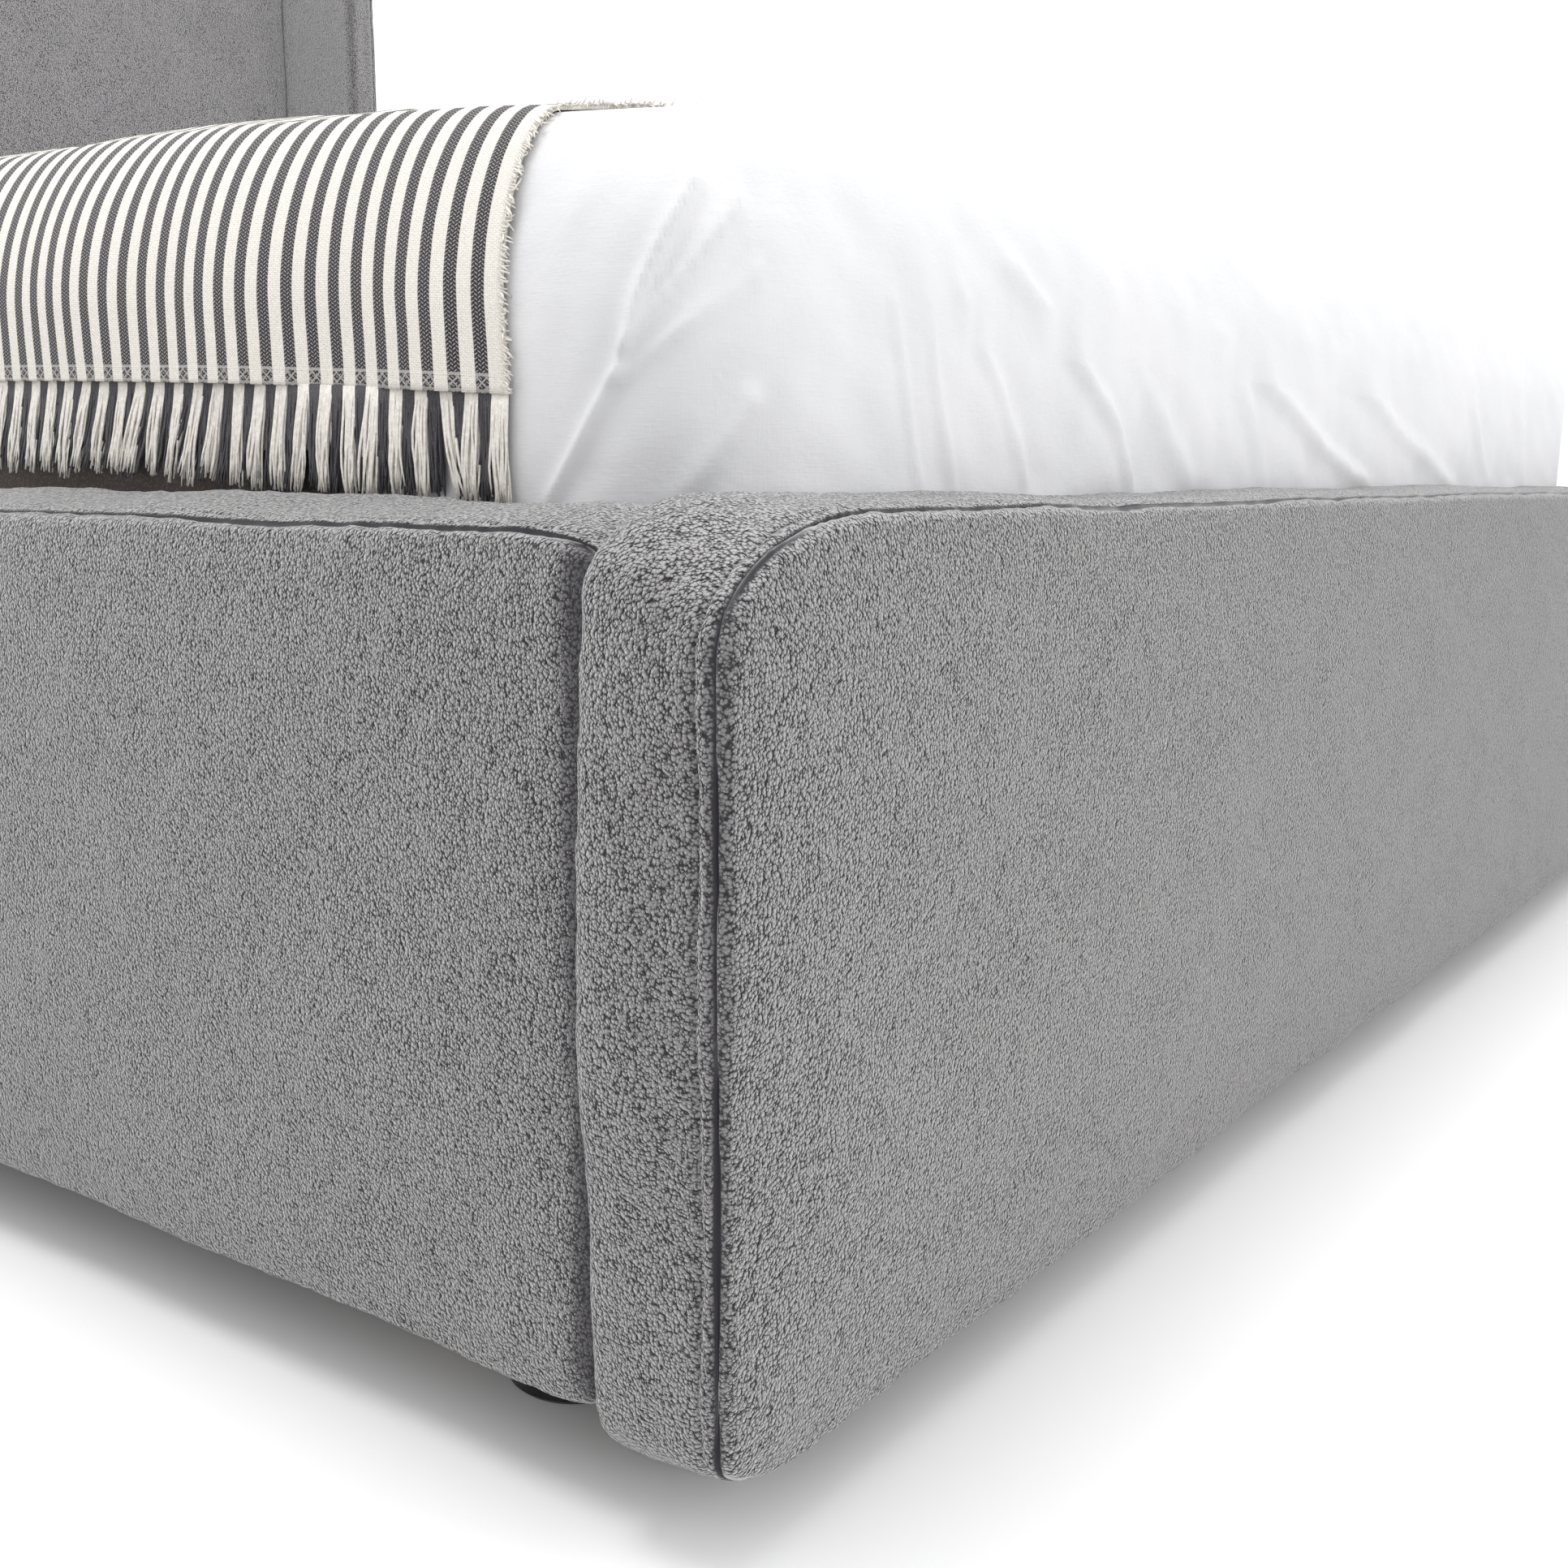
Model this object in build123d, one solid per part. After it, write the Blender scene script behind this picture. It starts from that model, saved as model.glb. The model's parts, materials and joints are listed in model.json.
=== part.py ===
from build123d import *
import os

# Upholstered platform bed with a winged headboard, for a 1400 x 2000 mattress.
# Millimetres. Origin on the floor under the bed's centre, +Y to the head, +Z up,
# +X to the right as seen from the foot.

# ---- driving dimensions -------------------------------------------------------
OVERALL_W = 1560.0        # outside of one headboard wing to the outside of the other
OVERALL_L = 2160.0        # footboard's front face to the headboard's back
HEADBOARD_TOP = 1200.0    # headboard's top above the floor

MATTRESS_W = 1400.0
MATTRESS_L = 2000.0
MATTRESS_BOTTOM = 315.0
MATTRESS_WALL_TOP = 472.0  # where the upright side starts to roll over
MATTRESS_EDGE_TOP = 537.0  # where the roll meets the top
MATTRESS_ROLL = 55.0       # how far in from the side the roll reaches
MATTRESS_CROWN = 582.0     # top of the mattress in the middle
MATTRESS_END_ROLL = 80.0   # the same roll at the head and foot ends
CROWN_CLEARANCE = 6.0      # the end roll finishes this far above the crown

COVER_T = 2.0             # boucle cloth
FOOTBOARD_T = 62.0
FOOTBOARD_TOP = 384.5
FOOTBOARD_GAP = 30.0      # floor to the footboard's underside
RAIL_T = 65.0
RAIL_TOP = 383.0
RAIL_GAP = 40.0           # floor to the rails' underside
RAIL_RECESS = 12.0        # rails stand in from the footboard's ends
PANEL_T = 80.0            # headboard panel
WING_T = 52.0
WING_REACH = 160.0        # wings stand this far forward of the panel
SLAB_EDGE_R = 8.0         # softened edge of every padded slab

CORE_T = 25.0             # timber core in the footboard and the rails
CORE_MARGIN = 18.0        # padding beyond a core's edges

SLAT_ROWS = 16
SLAT_W = 63.0
SLAT_T = 8.0
LEDGE_TOP = 300.0
LEDGE_T = 25.0
LEDGE_H = 50.0
BEAM_W = 60.0
BEAM_H = 60.0
CAP_H = 14.0              # plastic slat holder
CAP_WALL = 3.0
PLATE_T = 4.0             # steel of every bracket

GLIDE_R = 32.0            # round plastic glide at each corner
WING_GLIDE_R = 24.0       # narrower one under a wing
GLIDE_H = 30.0
NAIL_R = 4.0
NAIL_L = 26.0             # nail above the timber's underside
GLIDE_FROM_END = 90.0     # glide's axis to a footboard's end or a rail's outer face
BLOCK_W = 60.0            # timber corner blocks that the glides are nailed to
BLOCK_L = 160.0
BLOCK_H = 60.0
LEG_R = 19.0
LEG_BOTTOM = 34.0
STUD_R = 5.0              # levelling foot's thread
STUD_CLEARANCE = 0.08
STUD_L = 62.0
LEVEL_DISC_H = 9.0
LEVEL_DISC_R = 22.0
BOLT_R = 4.0
SCREW_R = 2.5

SHEET_T = 2.0
THROW_T = 3.0
THROW_FROM_FOOTBOARD = 175.0   # footboard's front face to the throw's near edge
THROW_W = 1300.0
HEM_Z = 436.0             # bottom of the woven cloth on both sides
FRINGE_L = 46.0

# ---- derived places -----------------------------------------------------------
HALF_W = OVERALL_W / 2
Y_FRONT = -OVERALL_L / 2
Y_BACK = OVERALL_L / 2
Y_FOOT_INNER = Y_FRONT + FOOTBOARD_T
Y_PANEL_FRONT = Y_BACK - PANEL_T
Y_WING_FRONT = Y_PANEL_FRONT - WING_REACH
X_RAIL_OUTER = HALF_W - RAIL_RECESS
X_RAIL_INNER = X_RAIL_OUTER - RAIL_T
RAIL_L = Y_WING_FRONT - Y_FOOT_INNER
Y_RAIL_MID = (Y_WING_FRONT + Y_FOOT_INNER) / 2
PANEL_W = OVERALL_W - 2 * WING_T
Y_MATTRESS_FOOT = Y_FOOT_INNER + SHEET_T + 1.0
Y_MATTRESS_MID = Y_MATTRESS_FOOT + MATTRESS_L / 2
BEAM_BOTTOM = LEDGE_TOP - BEAM_H
BASE_L = Y_PANEL_FRONT - Y_FOOT_INNER
Y_BASE_MID = (Y_PANEL_FRONT + Y_FOOT_INNER) / 2
Y_THROW = Y_FRONT + THROW_FROM_FOOTBOARD
SIDES = {"left": -1, "right": 1}

os.makedirs("parts", exist_ok=True)


def save(name, shape):
    """One STEP file per sub-part."""
    export_step(shape, f"parts/{name}.step")


def block(x0, x1, y0, y1, z0, z1):
    """An upright box from its limits along each axis."""
    centre = Pos((x0 + x1) / 2, (y0 + y1) / 2, (z0 + z1) / 2)
    return centre * Box(abs(x1 - x0), abs(y1 - y0), abs(z1 - z0))


def rod(x, y, z0, z1, radius):
    """A vertical cylinder."""
    return Pos(x, y, (z0 + z1) / 2) * Cylinder(radius, z1 - z0)


def rod_y(x, z, y0, y1, radius):
    """A cylinder along Y."""
    return Pos(x, (y0 + y1) / 2, z) * Rot(90, 0, 0) * Cylinder(radius, abs(y1 - y0))


def rod_x(y, z, x0, x1, radius):
    """A cylinder along X."""
    return Pos((x0 + x1) / 2, y, z) * Rot(0, 90, 0) * Cylinder(radius, abs(x1 - x0))


def rounded_slab(length, height, thickness, top_r, bottom_r, edge_r):
    """A slab centred on the origin: outline in X-Z, thickness along Y, all edges soft."""
    outline = Rectangle(length, height)
    outline = fillet(outline.vertices().group_by(Axis.Y)[-1], top_r)
    outline = fillet(outline.vertices().group_by(Axis.Y)[0], bottom_r)
    body = extrude(Plane.XZ * outline, thickness / 2, both=True)
    front = body.faces().sort_by(Axis.Y)[0].edges()
    back = body.faces().sort_by(Axis.Y)[-1].edges()
    return fillet(front + back, edge_r)


def upholster(length, height, thickness, top_r, bottom_r, core):
    """Cover, padding and core of one slab, nested face to face and centred on the origin."""
    outer = rounded_slab(length, height, thickness, top_r, bottom_r, SLAB_EDGE_R)
    skin = COVER_T
    inner = rounded_slab(
        length - 2 * skin,
        height - 2 * skin,
        thickness - 2 * skin,
        top_r - skin,
        bottom_r - skin,
        SLAB_EDGE_R - skin,
    )
    return {"cover": outer - inner, "padding": inner - core, "core": core}


def plain_core(length, height, thickness):
    """A board with the padding's margin all round."""
    return Box(length - 2 * CORE_MARGIN, thickness, height - 2 * CORE_MARGIN)


def framed_core(length, height, thickness, member):
    """A timber frame of four members and a middle rail."""
    board = Box(length - 2 * CORE_MARGIN, thickness, height - 2 * CORE_MARGIN)
    window_w = length - 2 * CORE_MARGIN - 2 * member
    window_h = (height - 2 * CORE_MARGIN - 3 * member) / 2
    step = (window_h + member) / 2
    board -= Pos(0, 0, step) * Box(window_w, 2 * thickness, window_h)
    board -= Pos(0, 0, -step) * Box(window_w, 2 * thickness, window_h)
    return board


# ---- padded slabs -------------------------------------------------------------
def footboard():
    height = FOOTBOARD_TOP - FOOTBOARD_GAP
    core = plain_core(OVERALL_W, height, CORE_T)
    place = Pos(0, Y_FRONT + FOOTBOARD_T / 2, FOOTBOARD_GAP + height / 2)
    pieces = upholster(OVERALL_W, height, FOOTBOARD_T, 42.0, 26.0, core)
    return {f"footboard_{k}": place * v for k, v in pieces.items()}


def side_rail(side):
    height = RAIL_TOP - RAIL_GAP
    core = plain_core(RAIL_L, height, CORE_T)
    x = SIDES[side] * (X_RAIL_OUTER - RAIL_T / 2)
    place = Pos(x, Y_RAIL_MID, RAIL_GAP + height / 2) * Rot(0, 0, 90)
    pieces = upholster(RAIL_L, height, RAIL_T, 22.0, 14.0, core)
    return {f"side_rail_{side}_{k}": place * v for k, v in pieces.items()}


def headboard_panel():
    height = HEADBOARD_TOP - FOOTBOARD_GAP
    core = framed_core(PANEL_W, height, 40.0, 90.0)
    place = Pos(0, Y_BACK - PANEL_T / 2, FOOTBOARD_GAP + height / 2)
    pieces = upholster(PANEL_W, height, PANEL_T, 10.0, 10.0, core)
    return {f"headboard_{k}": place * v for k, v in pieces.items()}


def wing(side):
    height = HEADBOARD_TOP - FOOTBOARD_GAP
    reach = WING_REACH + PANEL_T
    core = plain_core(reach, height, 18.0)
    x = SIDES[side] * (HALF_W - WING_T / 2)
    place = Pos(x, Y_BACK - reach / 2, FOOTBOARD_GAP + height / 2) * Rot(0, 0, 90)
    pieces = upholster(reach, height, WING_T, 30.0, 14.0, core)
    return {f"wing_{side}_{k}": place * v for k, v in pieces.items()}


# ---- glides -------------------------------------------------------------------
def glide(x, y, radius, timber):
    """A round glide on the floor, with the nail that goes up into timber from `timber`."""
    disc = rod(x, y, 0, GLIDE_H, radius)
    rim = disc.edges().filter_by(GeomType.CIRCLE).sort_by(Axis.Z)[0]
    disc = chamfer(rim, 2.0)
    return disc + rod(x, y, GLIDE_H - 1.0, timber + NAIL_L, NAIL_R)


def glides():
    """Two glides under each foot corner's block, one at each rail's head end, one per wing."""
    y_footboard = Y_FOOT_INNER + NAIL_R + 0.3
    y_rail = Y_FOOT_INNER + GLIDE_FROM_END
    y_wing = Y_BACK - (WING_REACH + PANEL_T) / 2
    x_inset = HALF_W - GLIDE_FROM_END
    made = {}
    for side, s in SIDES.items():
        x = s * x_inset
        x_wing = s * (HALF_W - WING_T / 2)
        made[f"footboard_glide_{side}"] = glide(x, y_footboard, GLIDE_R, RAIL_GAP)
        made[f"rail_glide_{side}_foot"] = glide(x, y_rail, GLIDE_R, RAIL_GAP)
        made[f"rail_glide_{side}_head"] = glide(x, Y_WING_FRONT - GLIDE_FROM_END, GLIDE_R, RAIL_GAP)
        made[f"wing_glide_{side}"] = glide(x_wing, y_wing, WING_GLIDE_R, FOOTBOARD_GAP)
    return made


def corner_blocks():
    """Timber blocks glued inside the rails' lower corners."""
    starts = {"foot": Y_FOOT_INNER, "head": Y_WING_FRONT - BLOCK_L}
    made = {}
    for side, s in SIDES.items():
        x0 = s * X_RAIL_INNER
        x1 = x0 - s * BLOCK_W
        for end, y in starts.items():
            made[f"corner_block_{end}_{side}"] = block(
                x1, x0, y, y + BLOCK_L, RAIL_GAP, RAIL_GAP + BLOCK_H
            )
    return made


# ---- slatted base -------------------------------------------------------------
def ledges():
    """Battens inside the rails, the footboard and the headboard that carry the slats."""
    z0 = LEDGE_TOP - LEDGE_H
    made = {}
    for side, s in SIDES.items():
        inner = s * (X_RAIL_INNER - LEDGE_T)
        made[f"slat_ledge_{side}"] = block(
            inner, s * X_RAIL_INNER, Y_FOOT_INNER + LEDGE_T, Y_WING_FRONT, z0, LEDGE_TOP
        )
    half = X_RAIL_INNER
    y_foot = Y_FOOT_INNER
    y_head = Y_PANEL_FRONT
    bar_foot = block(-half, half, y_foot, y_foot + LEDGE_T, z0, LEDGE_TOP)
    bar_head = block(-half, half, y_head - LEDGE_T, y_head, z0, LEDGE_TOP)
    gap = BEAM_W / 2 + PLATE_T
    slot = block(-gap, gap, y_foot, y_head, z0, LEDGE_TOP)
    made["slat_ledge_foot"] = bar_foot - slot
    made["slat_ledge_head"] = bar_head - slot
    return made


def centre_beam():
    half = BEAM_W / 2
    y0 = Y_FOOT_INNER + PLATE_T
    y1 = Y_PANEL_FRONT - PLATE_T
    return block(-half, half, y0, y1, BEAM_BOTTOM, LEDGE_TOP)


def beam_hanger(end):
    """A folded steel shoe: back plate, two cheeks and a floor for the beam's end."""
    half = BEAM_W / 2
    face, inward = (Y_FOOT_INNER, 1) if end == "foot" else (Y_PANEL_FRONT, -1)
    reach = face + inward * 50.0
    outer = block(
        -half - PLATE_T, half + PLATE_T, face, reach, BEAM_BOTTOM - PLATE_T, LEDGE_TOP
    )
    pocket = block(-half, half, face + inward * PLATE_T, reach, BEAM_BOTTOM, LEDGE_TOP)
    return outer - pocket


def slat_positions():
    first = Y_FOOT_INNER + 70.0
    last = Y_PANEL_FRONT - 70.0
    return [first + (last - first) * i / (SLAT_ROWS - 1) for i in range(SLAT_ROWS)]


def slats():
    """Two rows of sprung slats and their plastic holders, each kind one group."""
    z0 = LEDGE_TOP + CAP_WALL
    z1 = z0 + SLAT_T
    side_end = X_RAIL_INNER - 4.0
    half_cap = SLAT_W / 2 + CAP_WALL
    groups = {}
    for side, s in SIDES.items():
        laths = []
        caps = []
        for y in slat_positions():
            y0 = y - SLAT_W / 2
            y1 = y + SLAT_W / 2
            lath = block(s * 8.0, s * (side_end - CAP_WALL), y0, y1, z0, z1)
            cap = block(
                s * (side_end - 50.0), s * side_end, y - half_cap, y + half_cap,
                LEDGE_TOP, LEDGE_TOP + CAP_H,
            )
            laths.append(lath)
            caps.append(cap - lath)
        groups[f"slats_{side}"] = laths
        groups[f"slat_caps_{side}"] = caps
    middle = []
    for i, y in enumerate(slat_positions()):
        cap = block(
            -BEAM_W / 2, BEAM_W / 2, y - half_cap, y + half_cap, LEDGE_TOP, LEDGE_TOP + CAP_H
        )
        middle.append(cap - groups["slats_left"][i] - groups["slats_right"][i])
    groups["slat_caps_centre"] = middle
    return {name: Compound(children=solids) for name, solids in groups.items()}


# ---- centre legs with levelling feet ------------------------------------------
LEG_Y = {"front": Y_BASE_MID - BASE_L / 6, "rear": Y_BASE_MID + BASE_L / 6}


def centre_leg(y):
    """Top plate and round leg, bored from below for the levelling foot's thread."""
    plate = block(-28.0, 28.0, y - 40.0, y + 40.0, BEAM_BOTTOM - PLATE_T, BEAM_BOTTOM)
    post = rod(0, y, LEG_BOTTOM, BEAM_BOTTOM - PLATE_T, LEG_R)
    bore = rod(0, y, LEG_BOTTOM - 1.0, LEG_BOTTOM + STUD_L + 20.0, STUD_R + STUD_CLEARANCE)
    return plate + post - bore


def levelling_foot(y):
    disc = rod(0, y, 0, LEVEL_DISC_H, LEVEL_DISC_R)
    top = disc.edges().filter_by(GeomType.CIRCLE).sort_by(Axis.Z)[-1]
    disc = chamfer(top, 3.0)
    return disc + rod(0, y, LEVEL_DISC_H - 1.0, LEG_BOTTOM + STUD_L, STUD_R)


def leg_screws():
    """Four screws up through each leg's plate into the beam."""
    made = []
    for y in LEG_Y.values():
        for dx in (-22.0, 22.0):
            for dy in (-32.0, 32.0):
                made.append(rod(dx, y + dy, BEAM_BOTTOM - PLATE_T - 2.0, BEAM_BOTTOM + 26.0, SCREW_R))
    return made


# ---- corner brackets and their fasteners ---------------------------------------
BRACKET_Z0 = 110.0
BRACKET_Z1 = 230.0
BRACKET_ARM = 70.0
HEAD_STRAP_LAP = 110.0


def corner_bracket_foot(s):
    """An angle plate in the corner between a rail and the footboard."""
    x0 = s * X_RAIL_INNER
    y0 = Y_FOOT_INNER
    on_rail = block(x0 - s * PLATE_T, x0, y0, y0 + BRACKET_ARM, BRACKET_Z0, BRACKET_Z1)
    on_board = block(x0 - s * BRACKET_ARM, x0, y0, y0 + PLATE_T, BRACKET_Z0, BRACKET_Z1)
    return on_rail + on_board


def corner_bracket_head(s):
    """A strap along a rail's inner face, across the wing's reach, turned onto the panel."""
    x0 = s * X_RAIL_INNER
    start = Y_WING_FRONT - HEAD_STRAP_LAP
    y1 = Y_PANEL_FRONT
    strap = block(x0 - s * PLATE_T, x0, start, y1, BRACKET_Z0, BRACKET_Z1)
    tab = block(x0 - s * BRACKET_ARM, x0, y1 - PLATE_T, y1, BRACKET_Z0, BRACKET_Z1)
    return strap + tab


def hex_bolt_x(y, z, face, s, grip):
    """A bolt along X: its head on the inner side of `face`, its shank out into the rail."""
    head = rod_x(y, z, face - s * 5.0, face, 8.0)
    return head + rod_x(y, z, face, face + s * grip, BOLT_R)


def hex_bolt_y(x, z, face, d, grip):
    """A bolt along Y with its head on the bed's side of `face`."""
    head = rod_y(x, z, face - d * 5.0, face, 8.0)
    return head + rod_y(x, z, face, face + d * grip, BOLT_R)


def corner_bolts():
    made = []
    grip = 38.0
    for s in SIDES.values():
        face = s * (X_RAIL_INNER - PLATE_T)
        tab_x = s * (X_RAIL_INNER - BRACKET_ARM + 24.0)
        for z in (BRACKET_Z0 + 30.0, BRACKET_Z1 - 30.0):
            made.append(hex_bolt_x(Y_FOOT_INNER + 46.0, z, face, s, grip))
            made.append(hex_bolt_x(Y_WING_FRONT - 60.0, z, face, s, grip))
            made.append(hex_bolt_y(tab_x, z, Y_FOOT_INNER + PLATE_T, -1, grip))
            made.append(hex_bolt_y(tab_x, z, Y_PANEL_FRONT - PLATE_T, 1, grip))
    return made


def ledge_screws():
    """Wood screws through each ledge into the board behind it."""
    z = LEDGE_TOP - LEDGE_H / 2
    count = 7
    made = []
    for s in SIDES.values():
        face = s * (X_RAIL_INNER - LEDGE_T)
        for i in range(count):
            y = Y_FOOT_INNER + 90.0 + (RAIL_L - 180.0) * i / (count - 1)
            made.append(rod_x(y, z, face, face + s * (LEDGE_T + 34.0), SCREW_R))
        for x in (s * 160.0, s * 400.0, s * 620.0):
            y0 = Y_FOOT_INNER + LEDGE_T
            y1 = Y_PANEL_FRONT - LEDGE_T
            made.append(rod_y(x, z, y0, y0 - LEDGE_T - 32.0, SCREW_R))
            made.append(rod_y(x, z, y1, y1 + LEDGE_T + 32.0, SCREW_R))
    return made


# ---- mattress and bedding -------------------------------------------------------
def shoulder_profile(half, bottom, grow):
    """Outline across the mattress: upright sides, elliptical shoulders, a crowned top."""
    edge = half - MATTRESS_ROLL
    edge_top = MATTRESS_EDGE_TOP + grow
    rise = edge_top - MATTRESS_WALL_TOP
    with BuildSketch() as made:
        with BuildLine():
            Line((-half, bottom), (half, bottom))
            Line((half, bottom), (half, MATTRESS_WALL_TOP))
            EllipticalCenterArc((edge, MATTRESS_WALL_TOP), MATTRESS_ROLL, rise, 0, arc_size=90)
            ThreePointArc((edge, edge_top), (0, MATTRESS_CROWN + grow), (-edge, edge_top))
            EllipticalCenterArc((-edge, MATTRESS_WALL_TOP), MATTRESS_ROLL, rise, 90, arc_size=90)
            Line((-half, MATTRESS_WALL_TOP), (-half, bottom))
        make_face()
    return made.sketch


def end_profile(half, bottom, grow):
    """Outline along the mattress: its ends are upright and roll over to a level above the crown."""
    edge = half - MATTRESS_END_ROLL
    level = MATTRESS_CROWN + CROWN_CLEARANCE + grow
    rise = level - MATTRESS_WALL_TOP
    with BuildSketch() as made:
        with BuildLine():
            Line((-half, bottom), (half, bottom))
            Line((half, bottom), (half, MATTRESS_WALL_TOP))
            EllipticalCenterArc((edge, MATTRESS_WALL_TOP), MATTRESS_END_ROLL, rise, 0, arc_size=90)
            Line((edge, level), (-edge, level))
            EllipticalCenterArc((-edge, MATTRESS_WALL_TOP), MATTRESS_END_ROLL, rise, 90, arc_size=90)
            Line((-half, MATTRESS_WALL_TOP), (-half, bottom))
        make_face()
    return made.sketch


def bedding_form(grow, bottom):
    """The mattress's form, grown outwards by `grow`, standing on `bottom`."""
    half_w = MATTRESS_W / 2 + grow
    half_l = MATTRESS_L / 2 + grow
    across = extrude(Plane.XZ * shoulder_profile(half_w, bottom, grow), half_l + 5.0, both=True)
    along = extrude(Plane.YZ * end_profile(half_l, bottom, grow), half_w + 5.0, both=True)
    plan = extrude(RectangleRounded(2 * half_w, 2 * half_l, 60.0 + grow), 2 * MATTRESS_CROWN)
    return Pos(0, Y_MATTRESS_MID, 0) * (across & along & plan)


def bedding():
    sheet_bottom = RAIL_TOP - 40.0
    mattress = bedding_form(0.0, MATTRESS_BOTTOM)
    sheeted = bedding_form(SHEET_T, sheet_bottom)
    covered = bedding_form(SHEET_T + THROW_T, HEM_Z)
    span = block(-HALF_W, HALF_W, Y_THROW, Y_THROW + THROW_W, HEM_Z, HEADBOARD_TOP)
    made = {
        "mattress": mattress,
        "fitted_sheet": sheeted - mattress,
        "throw": (covered & span) - sheeted,
    }
    for side, s in SIDES.items():
        inner = s * (MATTRESS_W / 2 + SHEET_T + 0.1)
        outer = s * (MATTRESS_W / 2 + SHEET_T + THROW_T)
        made[f"throw_fringe_{side}"] = block(
            inner, outer, Y_THROW + 4.0, Y_THROW + THROW_W - 4.0, HEM_Z - FRINGE_L, HEM_Z
        )
    return made


# ---- assembly -------------------------------------------------------------------
def drill(shape, tools):
    """Cuts every tool that reaches into the shape."""
    box = shape.bounding_box()
    for tool in tools:
        other = tool.bounding_box()
        apart = (
            other.min.X > box.max.X or other.max.X < box.min.X
            or other.min.Y > box.max.Y or other.max.Y < box.min.Y
            or other.min.Z > box.max.Z or other.max.Z < box.min.Z
        )
        if not apart:
            shape = shape - tool
    return shape


def main():
    slabs = {**footboard(), **headboard_panel()}
    for side in SIDES:
        slabs.update(side_rail(side))
        slabs.update(wing(side))
    feet = glides()
    bolts = corner_bolts()
    battens = ledges()
    screws = ledge_screws()
    fixings = leg_screws()
    beam = {"centre_beam": centre_beam()}
    legs = {f"centre_leg_{k}": centre_leg(y) for k, y in LEG_Y.items()}
    brackets = {}
    for side, s in SIDES.items():
        brackets[f"corner_bracket_foot_{side}"] = corner_bracket_foot(s)
        brackets[f"corner_bracket_head_{side}"] = corner_bracket_head(s)

    for name, shape in slabs.items():
        save(name, drill(shape, bolts + screws + list(feet.values())))
    for name, shape in {**battens, **brackets}.items():
        save(name, drill(shape, bolts + screws))
    for name, shape in corner_blocks().items():
        save(name, drill(shape, list(feet.values())))
    for name, shape in {**beam, **legs}.items():
        save(name, drill(shape, fixings))
    for name, shape in feet.items():
        save(name, shape)
    for end in ("foot", "head"):
        save(f"beam_hanger_{end}", beam_hanger(end))
    for name, y in LEG_Y.items():
        save(f"levelling_foot_{name}", levelling_foot(y))
    save("corner_bolts", Compound(children=bolts))
    save("ledge_screws", Compound(children=screws))
    save("leg_screws", Compound(children=fixings))
    for name, shape in {**slats(), **bedding()}.items():
        save(name, shape)


main()
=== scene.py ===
"""Visual model of an upholstered platform bed with a winged headboard, a white sheet and a
striped throw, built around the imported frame. Lengths are in metres. The foot of the bed is
towards -Y, the head towards +Y, +Z is up, and the floor is at zero."""
import json
import math

import bpy
import numpy as np
from mathutils import Matrix, Vector


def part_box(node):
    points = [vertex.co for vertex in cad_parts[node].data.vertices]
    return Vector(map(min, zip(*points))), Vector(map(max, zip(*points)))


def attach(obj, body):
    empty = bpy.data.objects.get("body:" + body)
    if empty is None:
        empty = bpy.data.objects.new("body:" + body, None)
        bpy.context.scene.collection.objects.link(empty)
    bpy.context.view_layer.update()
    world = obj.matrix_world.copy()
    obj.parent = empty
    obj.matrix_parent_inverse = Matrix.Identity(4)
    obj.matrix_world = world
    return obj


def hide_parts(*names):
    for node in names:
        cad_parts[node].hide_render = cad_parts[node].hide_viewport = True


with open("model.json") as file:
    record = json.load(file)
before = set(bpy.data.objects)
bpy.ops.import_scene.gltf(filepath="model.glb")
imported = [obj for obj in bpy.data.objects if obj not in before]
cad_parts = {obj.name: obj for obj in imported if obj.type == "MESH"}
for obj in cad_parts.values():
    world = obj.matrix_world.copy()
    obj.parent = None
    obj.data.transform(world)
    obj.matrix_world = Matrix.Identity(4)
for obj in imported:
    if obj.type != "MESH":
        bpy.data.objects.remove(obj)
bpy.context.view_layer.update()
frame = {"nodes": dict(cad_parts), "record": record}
BODY = "bed"

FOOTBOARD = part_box("footboard_cover")
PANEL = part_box("headboard_cover")
RAILS = {side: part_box(f"side_rail_{side}_cover") for side in ("left", "right")}
WINGS = {side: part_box(f"wing_{side}_cover") for side in ("left", "right")}
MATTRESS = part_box("mattress")
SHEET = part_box("fitted_sheet")
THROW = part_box("throw")


# ---- camera and light ----------------------------------------------------------
CAMERA_AT = Vector((-1.2275, -1.4299, 0.3973))
CAMERA_YAW = math.radians(54.016)      # from +Y towards +X
CAMERA_PITCH = math.radians(10.042)    # downwards
CAMERA_ROLL = math.radians(0.263)
CAMERA_LENS = 40.19                    # mm
SENSOR = 36.0                          # mm

SKY = 1.04                             # strength of the white surroundings
BACKDROP = 1.1                         # and of the white behind the bed
FLOOR_HALF = 14.0

# Name, place, the point it faces, length of its sides, watts.
LIGHTS = (
    ("key", (2.2, -6.7, 3.0), (0.0, 0.0, 0.5), 3.6, 128.0),
    ("top", (-0.2, -0.3, 3.4), (-0.1, -0.3, 0.0), 3.4, 44.0),
    ("head", (-0.85, -0.50, 2.25), (0.1, 1.0, 0.80), 1.0, 26.0),
)


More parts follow.
